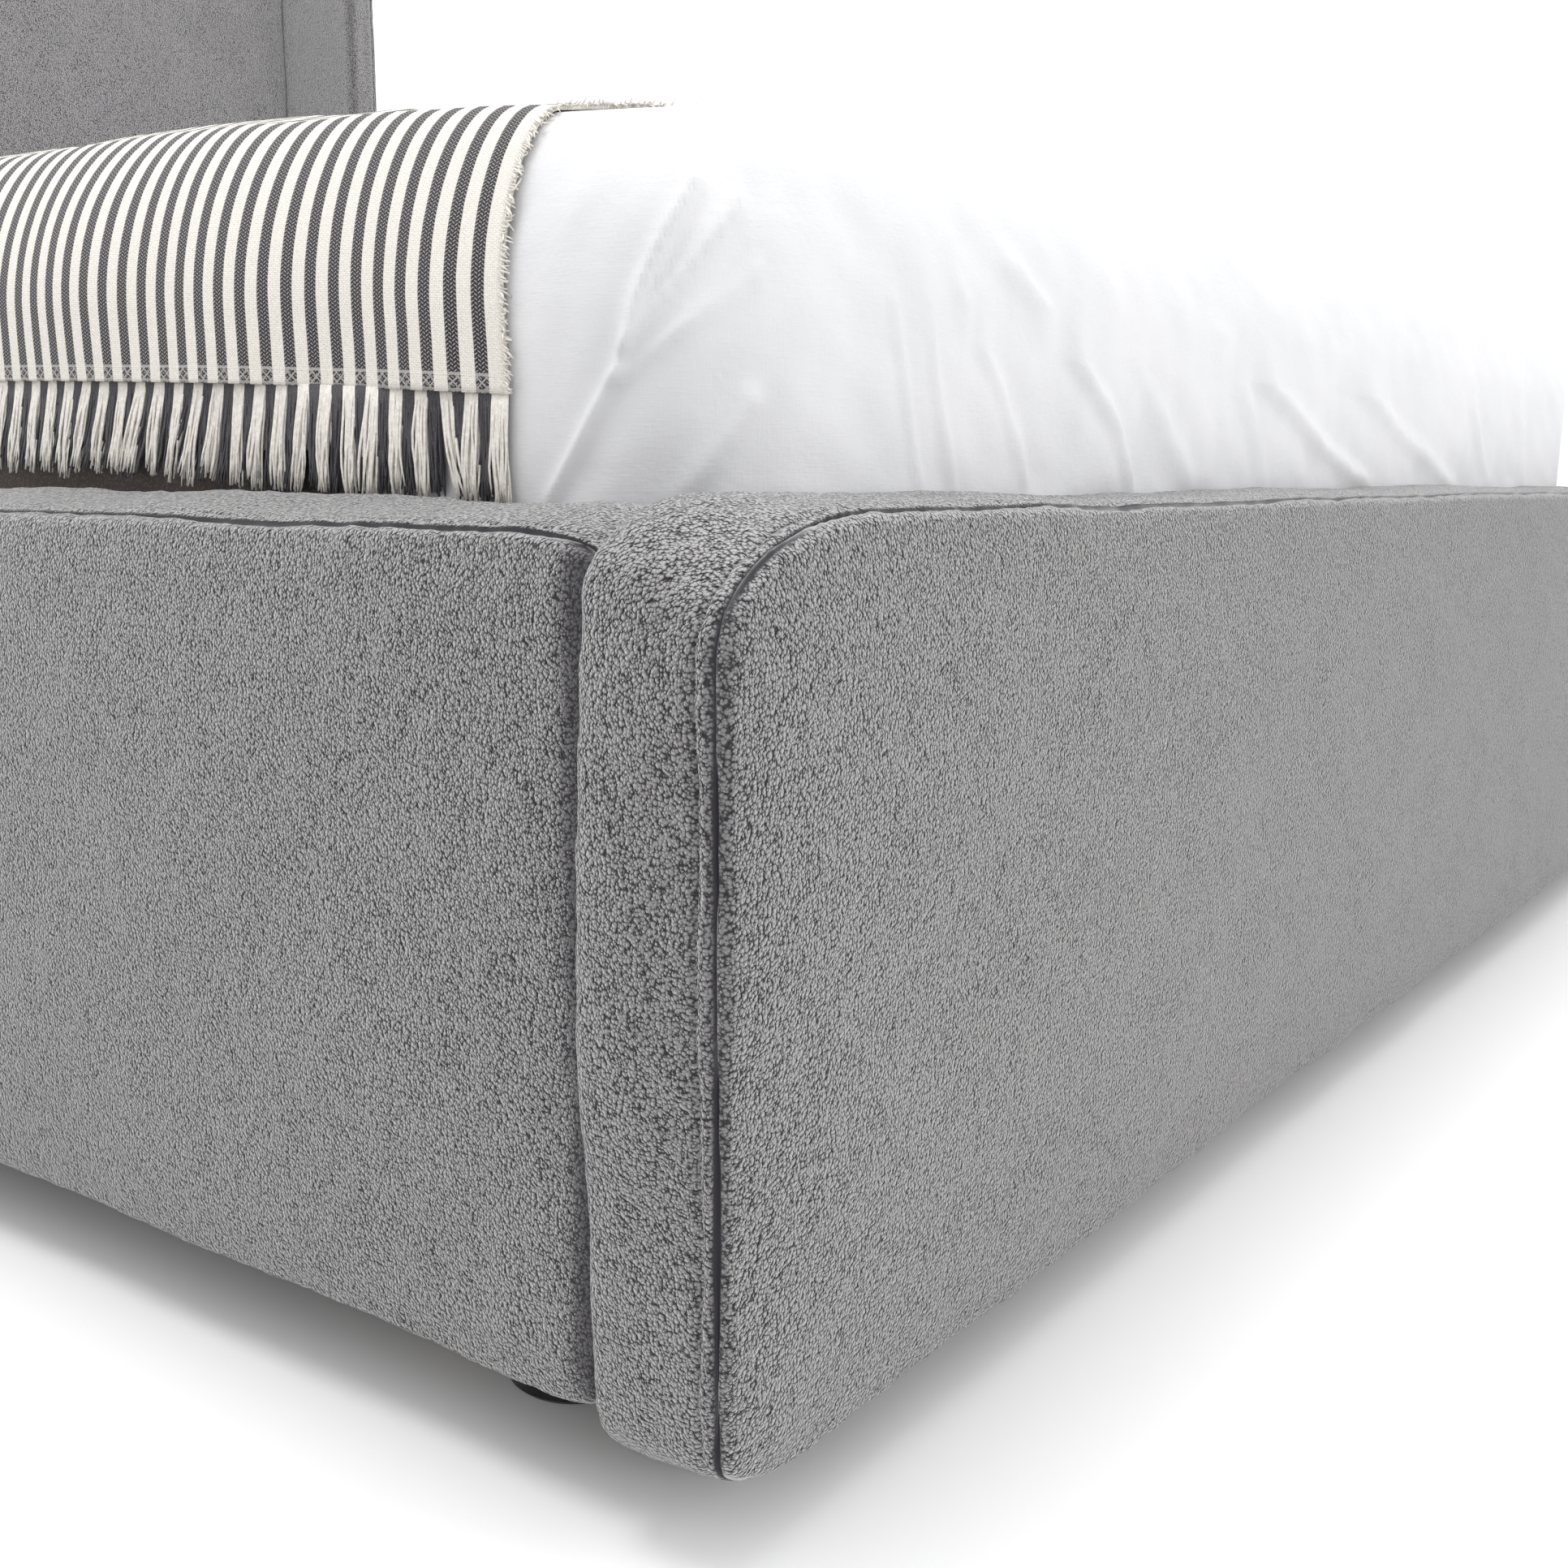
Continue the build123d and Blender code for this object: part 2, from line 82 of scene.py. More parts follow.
def make_camera():
    data = bpy.data.cameras.new("camera")
    data.lens = CAMERA_LENS
    data.sensor_width = SENSOR
    data.clip_start = 0.02
    camera = bpy.data.objects.new("camera", data)
    bpy.context.scene.collection.objects.link(camera)
    forward = Vector((
        math.sin(CAMERA_YAW) * math.cos(CAMERA_PITCH),
        math.cos(CAMERA_YAW) * math.cos(CAMERA_PITCH),
        -math.sin(CAMERA_PITCH),
    ))
    level = Vector((math.cos(CAMERA_YAW), -math.sin(CAMERA_YAW), 0.0))
    upright = level.cross(forward)
    right = level * math.cos(CAMERA_ROLL) + upright * math.sin(CAMERA_ROLL)
    up = upright * math.cos(CAMERA_ROLL) - level * math.sin(CAMERA_ROLL)
    turn = Matrix((right, up, -forward)).transposed().to_4x4()
    camera.matrix_world = Matrix.Translation(CAMERA_AT) @ turn
    bpy.context.scene.camera = camera


def area_light(name, at, towards, size, power):
    data = bpy.data.lights.new(name, "AREA")
    data.shape = "RECTANGLE"
    data.size = size
    data.size_y = size
    data.energy = power
    light = bpy.data.objects.new(name, data)
    bpy.context.scene.collection.objects.link(light)
    light.location = at
    light.rotation_euler = (Vector(towards) - Vector(at)).to_track_quat("-Z", "Y").to_euler()


def make_studio():
    world = bpy.data.worlds.new("studio")
    bpy.context.scene.world = world
    world.use_nodes = True
    tree = world.node_tree
    sky = tree.nodes["Background"]
    sky.inputs["Color"].default_value = (1.0, 1.0, 1.0, 1.0)
    seen = node(tree, "ShaderNodeLightPath").outputs["Is Camera Ray"]
    strength = math_node(tree, "MULTIPLY_ADD", seen, BACKDROP - SKY, SKY)
    tree.links.new(strength, sky.inputs["Strength"])
    for light in LIGHTS:
        area_light(*light)
    bpy.context.scene.view_settings.view_transform = "Standard"
    bpy.context.scene.view_settings.look = "None"


def make_floor():
    half = FLOOR_HALF
    verts = [(-half, -half, 0.0), (half, -half, 0.0), (half, half, 0.0), (-half, half, 0.0)]
    floor = mesh_object("floor", verts, [(0, 1, 2, 3)], floor_material())


# ---- meshes --------------------------------------------------------------------
def mesh_object(name, verts, faces, *materials):
    mesh = bpy.data.meshes.new(name)
    mesh.from_pydata(np.asarray(verts, float).tolist(), [], [tuple(f) for f in faces])
    mesh.polygons.foreach_set("use_smooth", [True] * len(mesh.polygons))
    for look in materials:
        mesh.materials.append(look)
    mesh.update()
    made = bpy.data.objects.new(name, mesh)
    bpy.context.scene.collection.objects.link(made)
    return made


def waves(points, size, seed, count=14):
    """A smooth random height at each point, about 1 in size, that varies over `size` metres."""
    draw = np.random.default_rng(seed)
    total = np.zeros(len(points))
    for _ in range(count):
        direction = draw.normal(size=3)
        direction /= np.linalg.norm(direction)
        length = size * draw.uniform(0.7, 1.6)
        phase = draw.uniform(0.0, 2.0 * math.pi)
        total += np.sin(points @ (direction * 2.0 * math.pi / length) + phase)
    return total / math.sqrt(count / 2.0)


def smooth_step(low, high, value):
    t = np.clip((value - low) / (high - low), 0.0, 1.0)
    return t * t * (3.0 - 2.0 * t)


def graded(length, finest, coarsest, slow=0.0, growth_low=0.1, growth_high=0.1):
    """Places from 0 to length, close together at both ends and `finest` over the first `slow`."""
    places = [0.0]
    while places[-1] < length:
        at = places[-1]
        step = min(
            finest + growth_low * max(0.0, at - slow),
            finest + growth_high * max(0.0, length - at),
            coarsest,
        )
        places.append(at + step)
    return np.array(places) * (length / places[-1])


def corner_mapped(us, vs, corners):
    """Points of a rectangular grid whose corners are drawn in to quarter ellipses.
    corners holds the (a, b) half axes at low-low, high-low, low-high and high-high."""
    u, v = np.meshgrid(us, vs, indexing="ij")
    u_new, v_new = u.copy(), v.copy()
    ends = ((us[0], 1.0), (us[-1], -1.0)), ((vs[0], 1.0), (vs[-1], -1.0))
    for k, (a, b) in enumerate(corners):
        u_end, u_way = ends[0][k % 2]
        v_end, v_way = ends[1][k // 2]
        s = 1.0 - (u - u_end) * u_way / a
        t = 1.0 - (v - v_end) * v_way / b
        inside = (s > 0.0) & (t > 0.0)
        s, t = s[inside], t[inside]
        u_new[inside] = u_end + u_way * a * (1.0 - s * np.sqrt(1.0 - t * t / 2.0))
        v_new[inside] = v_end + v_way * b * (1.0 - t * np.sqrt(1.0 - s * s / 2.0))
    return u_new, v_new


def edge_distance(u, v, size, corners):
    """Distance inwards from the outline of a rectangle with elliptical corners."""
    width, height = size
    away = np.minimum(np.minimum(u, width - u), np.minimum(v, height - v))
    for k, (a, b) in enumerate(corners):
        x = a - (u if k % 2 == 0 else width - u)
        y = b - (v if k // 2 == 0 else height - v)
        inside = (x > 0.0) & (y > 0.0)
        x, y = x[inside], y[inside]
        r = np.sqrt((x / a) ** 2 + (y / b) ** 2)
        slope = np.sqrt((x / a ** 2) ** 2 + (y / b ** 2) ** 2) / np.maximum(r, 1e-6)
        away[inside] = np.minimum(away[inside], (1.0 - r) / np.maximum(slope, 1e-6))
    return np.maximum(away, 0.0)


def rim_order(rows, cols):
    """Indices round a grid's edge, anticlockwise, for a grid stored as row * cols + col."""
    i, j = np.arange(rows), np.arange(cols)
    return np.concatenate([
        i * cols,
        (rows - 1) * cols + j[1:],
        i[-2::-1] * cols + (cols - 1),
        j[-2:0:-1],
    ])


def grid_faces(rows, cols, first=0, flip=False):
    i, j = np.meshgrid(np.arange(rows - 1), np.arange(cols - 1), indexing="ij")
    a = (first + i * cols + j).ravel()
    quads = np.stack([a, a + cols, a + cols + 1, a + 1], axis=1)
    return quads[:, ::-1] if flip else quads


def band_faces(upper, lower):
    """Quads between two closed loops of the same length, the upper one anticlockwise."""
    return np.stack([upper, lower, np.roll(lower, -1), np.roll(upper, -1)], axis=1)


def rim_normals(u, v):
    """Outward unit normals of a closed anticlockwise outline."""
    du = np.roll(u, -1) - np.roll(u, 1)
    dv = np.roll(v, -1) - np.roll(v, 1)
    length = np.hypot(du, dv)
    return dv / length, -du / length


def drawn_in(places, length, inset, least):
    """Places along an edge, with the two end stretches shortened by `inset`."""
    return np.interp(places, [0.0, least, length - least, length],
                     [inset, least, length - least, length - inset])


# ---- padded slabs --------------------------------------------------------------
BACK_R = 0.014            # rounding of a slab's back edge
SEAM_DEPTH = 0.0036       # the seam lies this far behind the face
SEAM_PULL = 0.0022        # and this far in from the slab's side
SEAM_WIDTH = 0.0021
SEAM_SHADE = 0.0021       # width of the dark line on the face where the two cloths meet, painted shade in the seam's groove
SEAM_SIDE_SHADE = 0.0014  # and on the side
CREASE_SHADE = 0.62       # how dark the painted shadow is in the crease beside another board
BACK_TURNS = (18.0, 36.0, 54.0, 72.0)   # degrees round the back edge
SIDE_ROWS = 9             # between the seam's ridges and the back edge
RAIL_TOP_RISE = 0.0055    # the rails' padding fills out this far above the seam's outline

# From the seam backwards: how far the side stands out, and the depth behind the face.
SIDE_PROFILE = (
    (-0.0011, 0.0040), (0.0000, 0.0046), (0.0007, 0.0057), (0.0009, 0.0070), (0.0004, 0.0081),
    (-0.0003, 0.0089), (0.0001, 0.0097), (0.0009, 0.0111), (0.0013, 0.0135), (0.0014, 0.0170),
)


# Height and size of each kind of swell in the wadding, and how many waves make it up.
WADDING = ((0.0009, 0.42, 14), (0.0005, 0.085, 14), (0.00022, 0.017, 14), (0.00012, 0.0065, 24))


def padded_slab(name, cloth, origin, u_axis, normal, size, thickness, corners, us, vs, seed,
                crown, crown_reach=0.020, back_corners=None, back_r=BACK_R, end_shade=None,
                bulge=0.0, top_rise=0.0):
    """An upholstered board: a crowned face, a sewn seam round it, padded sides and a flat back.
    The outline's corners change from `corners` at the seam to `back_corners` at the back.
    `bulge` and `top_rise` fill out the sides and the top, and `end_shade` is how far a painted
    shadow reaches onto the face from both ends. The "seam" attribute darkens the cloth: it is 1 in
    a seam, painting shade into its groove, up to CREASE_SHADE in the painted crease shadow, and 0
    away from both."""
    back_corners = back_corners or corners
    width, height = size
    u_axis, v_axis, normal = Vector(u_axis), Vector((0.0, 0.0, 1.0)), Vector(normal)
    axes = np.array([u_axis, v_axis, normal])

    u, v = corner_mapped(us, vs, corners)
    rows, cols = u.shape
    u, v = u.ravel(), v.ravel()
    from_end = np.minimum(u, width - u)
    away = edge_distance(u, v, size, corners)
    lift = crown * (1.0 - np.exp(-away / crown_reach))
    lift -= SEAM_DEPTH * np.exp(-(away / SEAM_WIDTH) ** 2)
    rim = rim_order(rows, cols)
    out_u, out_v = rim_normals(u[rim], v[rim])
    rim_u, rim_v = u[rim].copy(), v[rim].copy()
    u[rim] -= out_u * SEAM_PULL
    v[rim] -= out_v * SEAM_PULL
    layers = [np.stack([u, v, lift], axis=1)]
    loops = [rim]

    back_u, back_v = (side.ravel()[rim] for side in corner_mapped(us, vs, back_corners))
    fullness = bulge * out_u ** 2 * np.sin(np.pi * np.clip(rim_v / height, 0.0, 1.0)) ** 1.3
    fullness += top_rise * np.clip(out_v, 0.0, 1.0) ** 2
    side_out, side_depth = SIDE_PROFILE[-1]
    side_depths = np.linspace(side_depth, thickness - back_r, SIDE_ROWS)[1:]
    steps = list(SIDE_PROFILE) + [(side_out, depth) for depth in side_depths]
    for turn in np.radians(BACK_TURNS):
        steps.append((
            side_out - back_r * (1.0 - math.cos(turn)),
            thickness - back_r + back_r * math.sin(turn),
        ))
    count = rows * cols
    for stand, depth in steps:
        back = smooth_step(0.0, 0.8 * thickness, depth)
        out = stand + fullness * back
        at_u = rim_u + (back_u - rim_u) * back + out_u * out
        at_v = rim_v + (back_v - rim_v) * back + out_v * out
        layers.append(np.stack([at_u, at_v, np.full(len(rim), -depth)], axis=1))
        loops.append(count + np.arange(len(rim)))
        count += len(rim)

    least = min(min(pair) for pair in back_corners)
    inset = min(back_r, 0.6 * least)
    smaller = [(a - inset, b - inset) for a, b in back_corners]
    back = corner_mapped(drawn_in(us, width, inset, least), drawn_in(vs, height, inset, least), smaller)
    layers.append(np.stack([back[0].ravel(), back[1].ravel(), np.full(rows * cols, -thickness)], axis=1))
    loops.append(count + rim_order(rows, cols))

    faces = [grid_faces(rows, cols)]
    faces += [band_faces(upper, lower) for upper, lower in zip(loops, loops[1:])]
    faces.append(grid_faces(rows, cols, first=count, flip=True))
    local = np.concatenate(layers)
    verts = local @ axes + np.array(origin)

    made = mesh_object(name, verts, np.concatenate(faces), cloth)
    # painted shade: the "seam" attribute darkens the cloth along the seam's groove and, with end_shade, in
    # the crease beside another board
    shade = np.zeros(len(verts), np.float32)
    face = slice(0, rows * cols)
    shade[face] = np.exp(-(away / SEAM_SHADE) ** 2)
    for ring, (_, depth) in enumerate(steps):
        start = rows * cols + ring * len(rim)
        shade[start:start + len(rim)] = math.exp(-((depth - SEAM_DEPTH) / SEAM_SIDE_SHADE) ** 2)
    if end_shade:
        creased = CREASE_SHADE * np.exp(-(from_end / end_shade) ** 4)
        shade[face] = np.maximum(shade[face], creased)
    made.data.attributes.new("seam", "FLOAT", "POINT").data.foreach_set("value", shade)
    soften(made, seed, local[:, 2] > -thickness + 0.001)
    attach(made, BODY)


def soften(made, seed, loose):
    """Uneven wadding under the cloth: long shallow swells and small dimples along the normals,
    at the points where `loose` is true."""
    mesh = made.data
    verts = np.empty(len(mesh.vertices) * 3)
    mesh.vertices.foreach_get("co", verts)
    verts = verts.reshape(-1, 3)
    normals = np.empty(len(mesh.vertices) * 3, np.float32)
    mesh.vertices.foreach_get("normal", normals)
    normals = normals.reshape(-1, 3)
    height = np.zeros(len(verts))
    for k, (rise, size, count) in enumerate(WADDING):
        height += rise * waves(verts, size, seed + k, count)
    verts += normals * (height * loose)[:, None]
    mesh.vertices.foreach_set("co", verts.ravel())
    mesh.update()


def side_place(side, low, high):
    """Origin, direction of u and outward normal of a board on the bed's left or right."""
    if side == "left":
        return (low.x, high.y, low.z), (0, -1, 0), (-1, 0, 0)
    return (high.x, low.y, low.z), (0, 1, 0), (1, 0, 0)


def make_footboard(cloth):
    low, high = FOOTBOARD
    width, height = high.x - low.x, high.z - low.z
    padded_slab(
        "footboard", cloth, low, (1, 0, 0), (0, -1, 0), (width, height), high.y - low.y,
        [(0.060, 0.022)] * 2 + [(0.100, 0.048)] * 2,
        graded(width, 0.0014, 0.012, slow=0.05, growth_low=0.012, growth_high=0.10),
        graded(height, 0.0013, 0.0045, growth_low=0.04, growth_high=0.04),
        seed=11, crown=0.0085, crown_reach=0.030, bulge=0.0065, top_rise=0.0035,
        back_corners=[(0.034, 0.024)] * 2 + [(0.055, 0.032)] * 2, back_r=0.008,
    )


def make_rail(side, cloth, seed):
    low, high = RAILS[side]
    length, height = high.y - low.y, high.z - RAIL_TOP_RISE - low.z
    near_foot = graded(length, 0.0018, 0.014, slow=0.06, growth_low=0.012, growth_high=0.10)
    origin, u_axis, normal = side_place(side, low, high)
    padded_slab(
        f"side_rail_{side}", cloth, origin, u_axis, normal, (length, height), high.x - low.x,
        [(0.028, 0.018)] * 2 + [(0.050, 0.013)] * 2,
        length - near_foot[::-1] if side == "left" else near_foot,
        graded(height, 0.0014, 0.0045, growth_low=0.04, growth_high=0.04),
        # end_shade paints a crease shadow on the rail's face at both ends, where it meets the other boards
        seed=seed, crown=0.005, top_rise=0.0075, end_shade=0.026,
    )


def make_panel(cloth):
    low, high = PANEL
    width, height = high.x - low.x, high.z - low.z
    padded_slab(
        "headboard_panel", cloth, low, (1, 0, 0), (0, -1, 0), (width, height), high.y - low.y,
        [(0.020, 0.020)] * 4, graded(width, 0.002, 0.014), graded(height, 0.002, 0.014),
        seed=41, crown=0.008,
    )


def make_wing(side, cloth, seed):
    low, high = WINGS[side]
    depth, height = high.y - low.y, high.z - low.z
    origin, u_axis, normal = side_place(side, low, high)
    padded_slab(
        f"wing_{side}", cloth, origin, u_axis, normal, (depth, height), high.x - low.x,
        [(0.022, 0.022)] * 2 + [(0.060, 0.060)] * 2,
        graded(depth, 0.002, 0.009), graded(height, 0.002, 0.012),
        seed=seed, crown=0.004,
    )


def make_slabs(cloth):
    make_footboard(cloth)
    make_rail("left", cloth, seed=21)
    make_rail("right", cloth, seed=31)
    make_panel(cloth)
    make_wing("left", cloth, seed=51)
    make_wing("right", cloth, seed=61)


# ---- bedding -------------------------------------------------------------------
PLAN_R = 0.080            # the bedding's corners, seen from above
SHOULDER_START = 0.457    # height where the upright side starts to roll over
SHOULDER_RISE = 0.084
SHOULDER_REACH = 0.045
SHOULDER_POWER = 1.75
TOP_RISE_X, TOP_RISE_Y = 0.022, 0.030
TOP_REACH_X, TOP_REACH_Y = 0.11, 0.35
SHEET_HEM = 0.345         # the sheet's lower edge, tucked behind the footboard
SHEET_SIDE_RISE = 0.062   # it ends this much higher along the sides
SHEET_T = 0.0008
MATTRESS_SLACK = 0.008    # the mattress stays this far inside its box
MATTRESS_SINK = -0.009    # and its top this far under the sheet's


def shoulder(inwards):
    """Height of the rolled edge at a distance inwards from the upright side."""
    t = np.clip(1.0 - inwards / SHOULDER_REACH, 0.0, 1.0)
    return SHOULDER_START + SHOULDER_RISE * (1.0 - t ** SHOULDER_POWER) ** (1.0 / SHOULDER_POWER)


def top_height(x, y):
    """Height that the top adds above its shoulders, over the sheet's plan."""
    low, high = SHEET
    ex = np.maximum(np.minimum(x - low.x, high.x - x) - SHOULDER_REACH, 0.0)
    ey = np.maximum(np.minimum(y - low.y, high.y - y) - SHOULDER_REACH, 0.0)
    across = TOP_RISE_X * (1.0 - np.exp(-ex / TOP_REACH_X))
    return across + TOP_RISE_Y * (1.0 - np.exp(-ey / TOP_REACH_Y))


# Folds of the tucked sheet near the foot's left corner. Each is a line of (distance round
# the bed from the corner, negative along the side and positive along the foot; height),
# with its height above the cloth and its width. A fold has a dip along each flank.
FOLD_GAIN = 1.3
FOLD_NARROWING = 0.8
FOLD_DIP = 0.35
FOLD_DIP_REACH = 2.6
FOLDS = (
    (((-0.070, 0.385), (-0.036, 0.437), (-0.025, 0.470), (-0.016, 0.490), (-0.003, 0.512)),
     0.0042, 0.0050),
    (((-0.031, 0.446), (-0.017, 0.465), (0.000, 0.484), (0.017, 0.503)), 0.0026, 0.0042),
    (((-0.036, 0.434), (-0.017, 0.448), (0.001, 0.461), (0.021, 0.474)), 0.0020, 0.0048),
    (((-0.013, 0.383), (0.001, 0.403), (0.017, 0.426)), 0.0024, 0.0070),
    (((0.105, 0.470), (0.129, 0.386)), 0.0016, 0.0045),
    (((0.130, 0.468), (0.157, 0.386)), 0.0018, 0.0045),
    (((0.158, 0.480), (0.200, 0.435), (0.224, 0.395)), 0.0020, 0.0060),
    (((0.205, 0.494), (0.271, 0.458), (0.319, 0.422), (0.344, 0.388)), 0.0034, 0.0075),
    (((0.337, 0.468), (0.420, 0.392)), 0.0014, 0.0090),
    (((0.498, 0.450), (0.538, 0.388)), 0.0020, 0.0085),
    (((0.458, 0.476), (0.575, 0.442), (0.628, 0.420), (0.735, 0.390)), 0.0032, 0.0095),
    (((0.668, 0.474), (0.817, 0.430), (0.957, 0.388)), 0.0026, 0.0110),
    (((0.984, 0.476), (1.064, 0.390)), 0.0024, 0.0110),
    (((1.150, 0.480), (1.185, 0.388)), 0.0030, 0.0150),
)


def line_distance(q, z, line):
    """Distance of each (q, z) from a line of points."""
    nearest = np.full(len(q), 1e9)
    for (q0, z0), (q1, z1) in zip(line, line[1:]):
        dq, dz = q1 - q0, z1 - z0
        t = np.clip(((q - q0) * dq + (z - z0) * dz) / (dq * dq + dz * dz), 0.0, 1.0)
        nearest = np.minimum(nearest, np.hypot(q - q0 - t * dq, z - z0 - t * dz))
    return nearest


def fold_height(q, z):
    total = np.zeros(len(q))
    for line, height, width in FOLDS:
        away = line_distance(q, z, line)
        ridge = np.exp(-(away / (FOLD_NARROWING * width)) ** 2)
        dip = FOLD_DIP * np.exp(-(away / (FOLD_DIP_REACH * width)) ** 2)
        total += FOLD_GAIN * height * (ridge - dip)
    return total


def bedding_rim(us, vs, low):
    """Outline of the bedding in plan, its outward normals and each point's way round from the
    near corner: negative up the left side and positive along the foot."""
    corners = [(PLAN_R, PLAN_R)] * 4
    u, v = corner_mapped(us, vs, corners)
    rim = rim_order(*u.shape)
    x, y = u.ravel()[rim] + low.x, v.ravel()[rim] + low.y
    nx, ny = rim_normals(x, y)
    steps = np.hypot(np.diff(x, append=x[0]), np.diff(y, append=y[0]))
    round_it = np.concatenate([[0.0], np.cumsum(steps)[:-1]])
    whole = steps.sum()
    q = np.where(round_it > whole / 2.0, round_it - whole, round_it)
    return x, y, nx, ny, q


def bedding_shell(us, vs, low, high, hem, rows_up, grow):
    """A grid over the top and rings down the sides, to the height `hem` round the outline.
    `grow` raises the whole shell. It returns the points, the faces, every ring from the top's
    rim down, and the outward normals round the outline."""
    x, y, nx, ny, _ = bedding_rim(us, vs, low)
    inner = SHOULDER_REACH + 0.004
    inner_us = drawn_in(us, high.x - low.x, inner, PLAN_R)
    inner_vs = drawn_in(vs, high.y - low.y, inner, PLAN_R)
    u, v = corner_mapped(inner_us, inner_vs, [(PLAN_R - inner, PLAN_R - inner)] * 4)
    rows, cols = u.shape
    top_x, top_y = u.ravel() + low.x, v.ravel() + low.y
    top_z = SHOULDER_START + SHOULDER_RISE + top_height(top_x, top_y) + grow
    layers = [np.stack([top_x, top_y, top_z], axis=1)]
    rim = rim_order(rows, cols)
    loops = [rim]
    count = rows * cols
    for e in SHOULDER_REACH * (1.0 - np.sin(np.linspace(0.0, 1.0, 19)[1:] * math.pi / 2.0)):
        z = shoulder(e) + grow + top_height(x - nx * e, y - ny * e)
        layers.append(np.stack([x - nx * e, y - ny * e, np.broadcast_to(z, x.shape)], axis=1))
    for t in np.linspace(0.0, 1.0, rows_up + 1)[1:]:
        z = (SHOULDER_START + grow) * (1.0 - t) + hem * t
        layers.append(np.stack([x, y, np.broadcast_to(z, x.shape)], axis=1))
    for _ in layers[1:]:
        loops.append(count + np.arange(len(rim)))
        count += len(rim)
    faces = [grid_faces(rows, cols)]
    faces += [band_faces(upper, lower) for upper, lower in zip(loops, loops[1:])]
    return np.concatenate(layers), faces, loops, (nx, ny)


def top_swell(points):
    """How far the sheet's top rises and falls at each point."""
    return 0.0012 * waves(points, 0.16, 73) + 0.0004 * waves(points, 0.045, 74)


def make_sheet(cotton):
    low, high = SHEET
    us = graded(high.x - low.x, 0.0022, 0.0085, slow=0.08, growth_low=0.012, growth_high=0.05)
    vs = graded(high.y - low.y, 0.0022, 0.028, slow=0.19, growth_low=0.10, growth_high=0.15)
    _, y, nx, ny, q = bedding_rim(us, vs, low)
    on_side = np.abs(nx) > 0.7
    from_foot = y - FOOTBOARD[0].y
    hem = SHEET_HEM + SHEET_SIDE_RISE * on_side * smooth_step(0.20, 0.30, from_foot)
    verts, faces, loops, _ = bedding_shell(us, vs, low, high, hem, 44, 0.0)
    for loop in loops[1:]:
        ring = verts[loop]
        z = ring[:, 2]
        fade = smooth_step(0.378, 0.400, z)
        roll = 1.0 - smooth_step(0.50, 0.53, z)
        out = fold_height(q, z) * (0.12 + 0.88 * fade)
        out += 0.0011 * waves(ring * (1.0, 1.0, 0.35), 0.075, 71) * fade * roll
        out += 0.0005 * waves(ring * (1.0, 1.0, 0.45), 0.022, 72) * fade * roll
        out = np.clip(out, -0.004, 0.0075)
        out = np.where(z < 0.388, np.minimum(out, 0.0008), out)
        verts[loop, 0] += nx * out
        verts[loop, 1] += ny * out
    top = np.arange(loops[1][0])
    verts[top, 2] += top_swell(verts[top])
    made = mesh_object("fitted_sheet_cloth", verts, np.concatenate(faces), cotton)
    shell = made.modifiers.new("cloth", "SOLIDIFY")
    shell.thickness = SHEET_T
    shell.offset = -1.0
    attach(made, BODY)
    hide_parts("fitted_sheet")
    return made


def make_mattress(ticking):
    slack = Vector((MATTRESS_SLACK, MATTRESS_SLACK, 0.0))
    low, high = MATTRESS[0] + slack, MATTRESS[1] - slack
    us = graded(high.x - low.x, 0.006, 0.05)
    vs = graded(high.y - low.y, 0.006, 0.05)
    hem = np.full(2 * (len(us) + len(vs)) - 4, low.z + 0.012)
    verts, faces, loops, (nx, ny) = bedding_shell(us, vs, low, high, hem, 12, MATTRESS_SINK)
    count = len(verts)
    last = verts[loops[-1]]
    rings = []
    for out, z in ((-0.0015, 0.008), (-0.001, 0.004), (-0.003, 0.0005), (-0.009, 0.0)):
        at_x, at_y = last[:, 0] + nx * out, last[:, 1] + ny * out
        rings.append(np.stack([at_x, at_y, np.full(len(last), low.z + z)], axis=1))
        loops.append(count + np.arange(len(last)))
        count += len(last)
    faces += [band_faces(upper, lower) for upper, lower in zip(loops[-5:], loops[-4:])]
    verts = np.concatenate([verts] + rings)
    faces = [tuple(face) for block in faces for face in block]
    faces.append(tuple(loops[-1][::-1]))
    made = mesh_object("mattress_body", verts, faces, ticking)
    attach(made, BODY)
    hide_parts("mattress")


# ---- throw ---------------------------------------------------------------------
THROW_T = 0.0022
THROW_LIFT = 0.0016       # clear of the sheet
STRIPE_PITCH = 0.0150
STRIPE_DARK = 0.0074
SELVEDGE = 0.0090         # plain cream edge before the first dark stripe
HEM_BAND = 0.0075
HEM_Z = 0.4285            # the hem's height at the near edge
HEM_RISE = 0.026
HEM_RISE_REACH = 0.42
EDGE_DROP = 0.0016        # the throw's near edge lies down on the sheet
EDGE_SHIFT_HEM = -0.0060  # where the near edge lies at the hem, positive towards the head
EDGE_SHIFT_RISE = 0.0110  # and how much further towards the head it is on top
EDGE_SHIFT_REACH = 0.35   # the shift dies out over this length of the bed


def hem_height(y):
    """The throw's hem rises slowly towards the head."""
    from_edge = y - THROW[0].y
    return HEM_Z + HEM_RISE * (1.0 - np.exp(-from_edge / HEM_RISE_REACH))


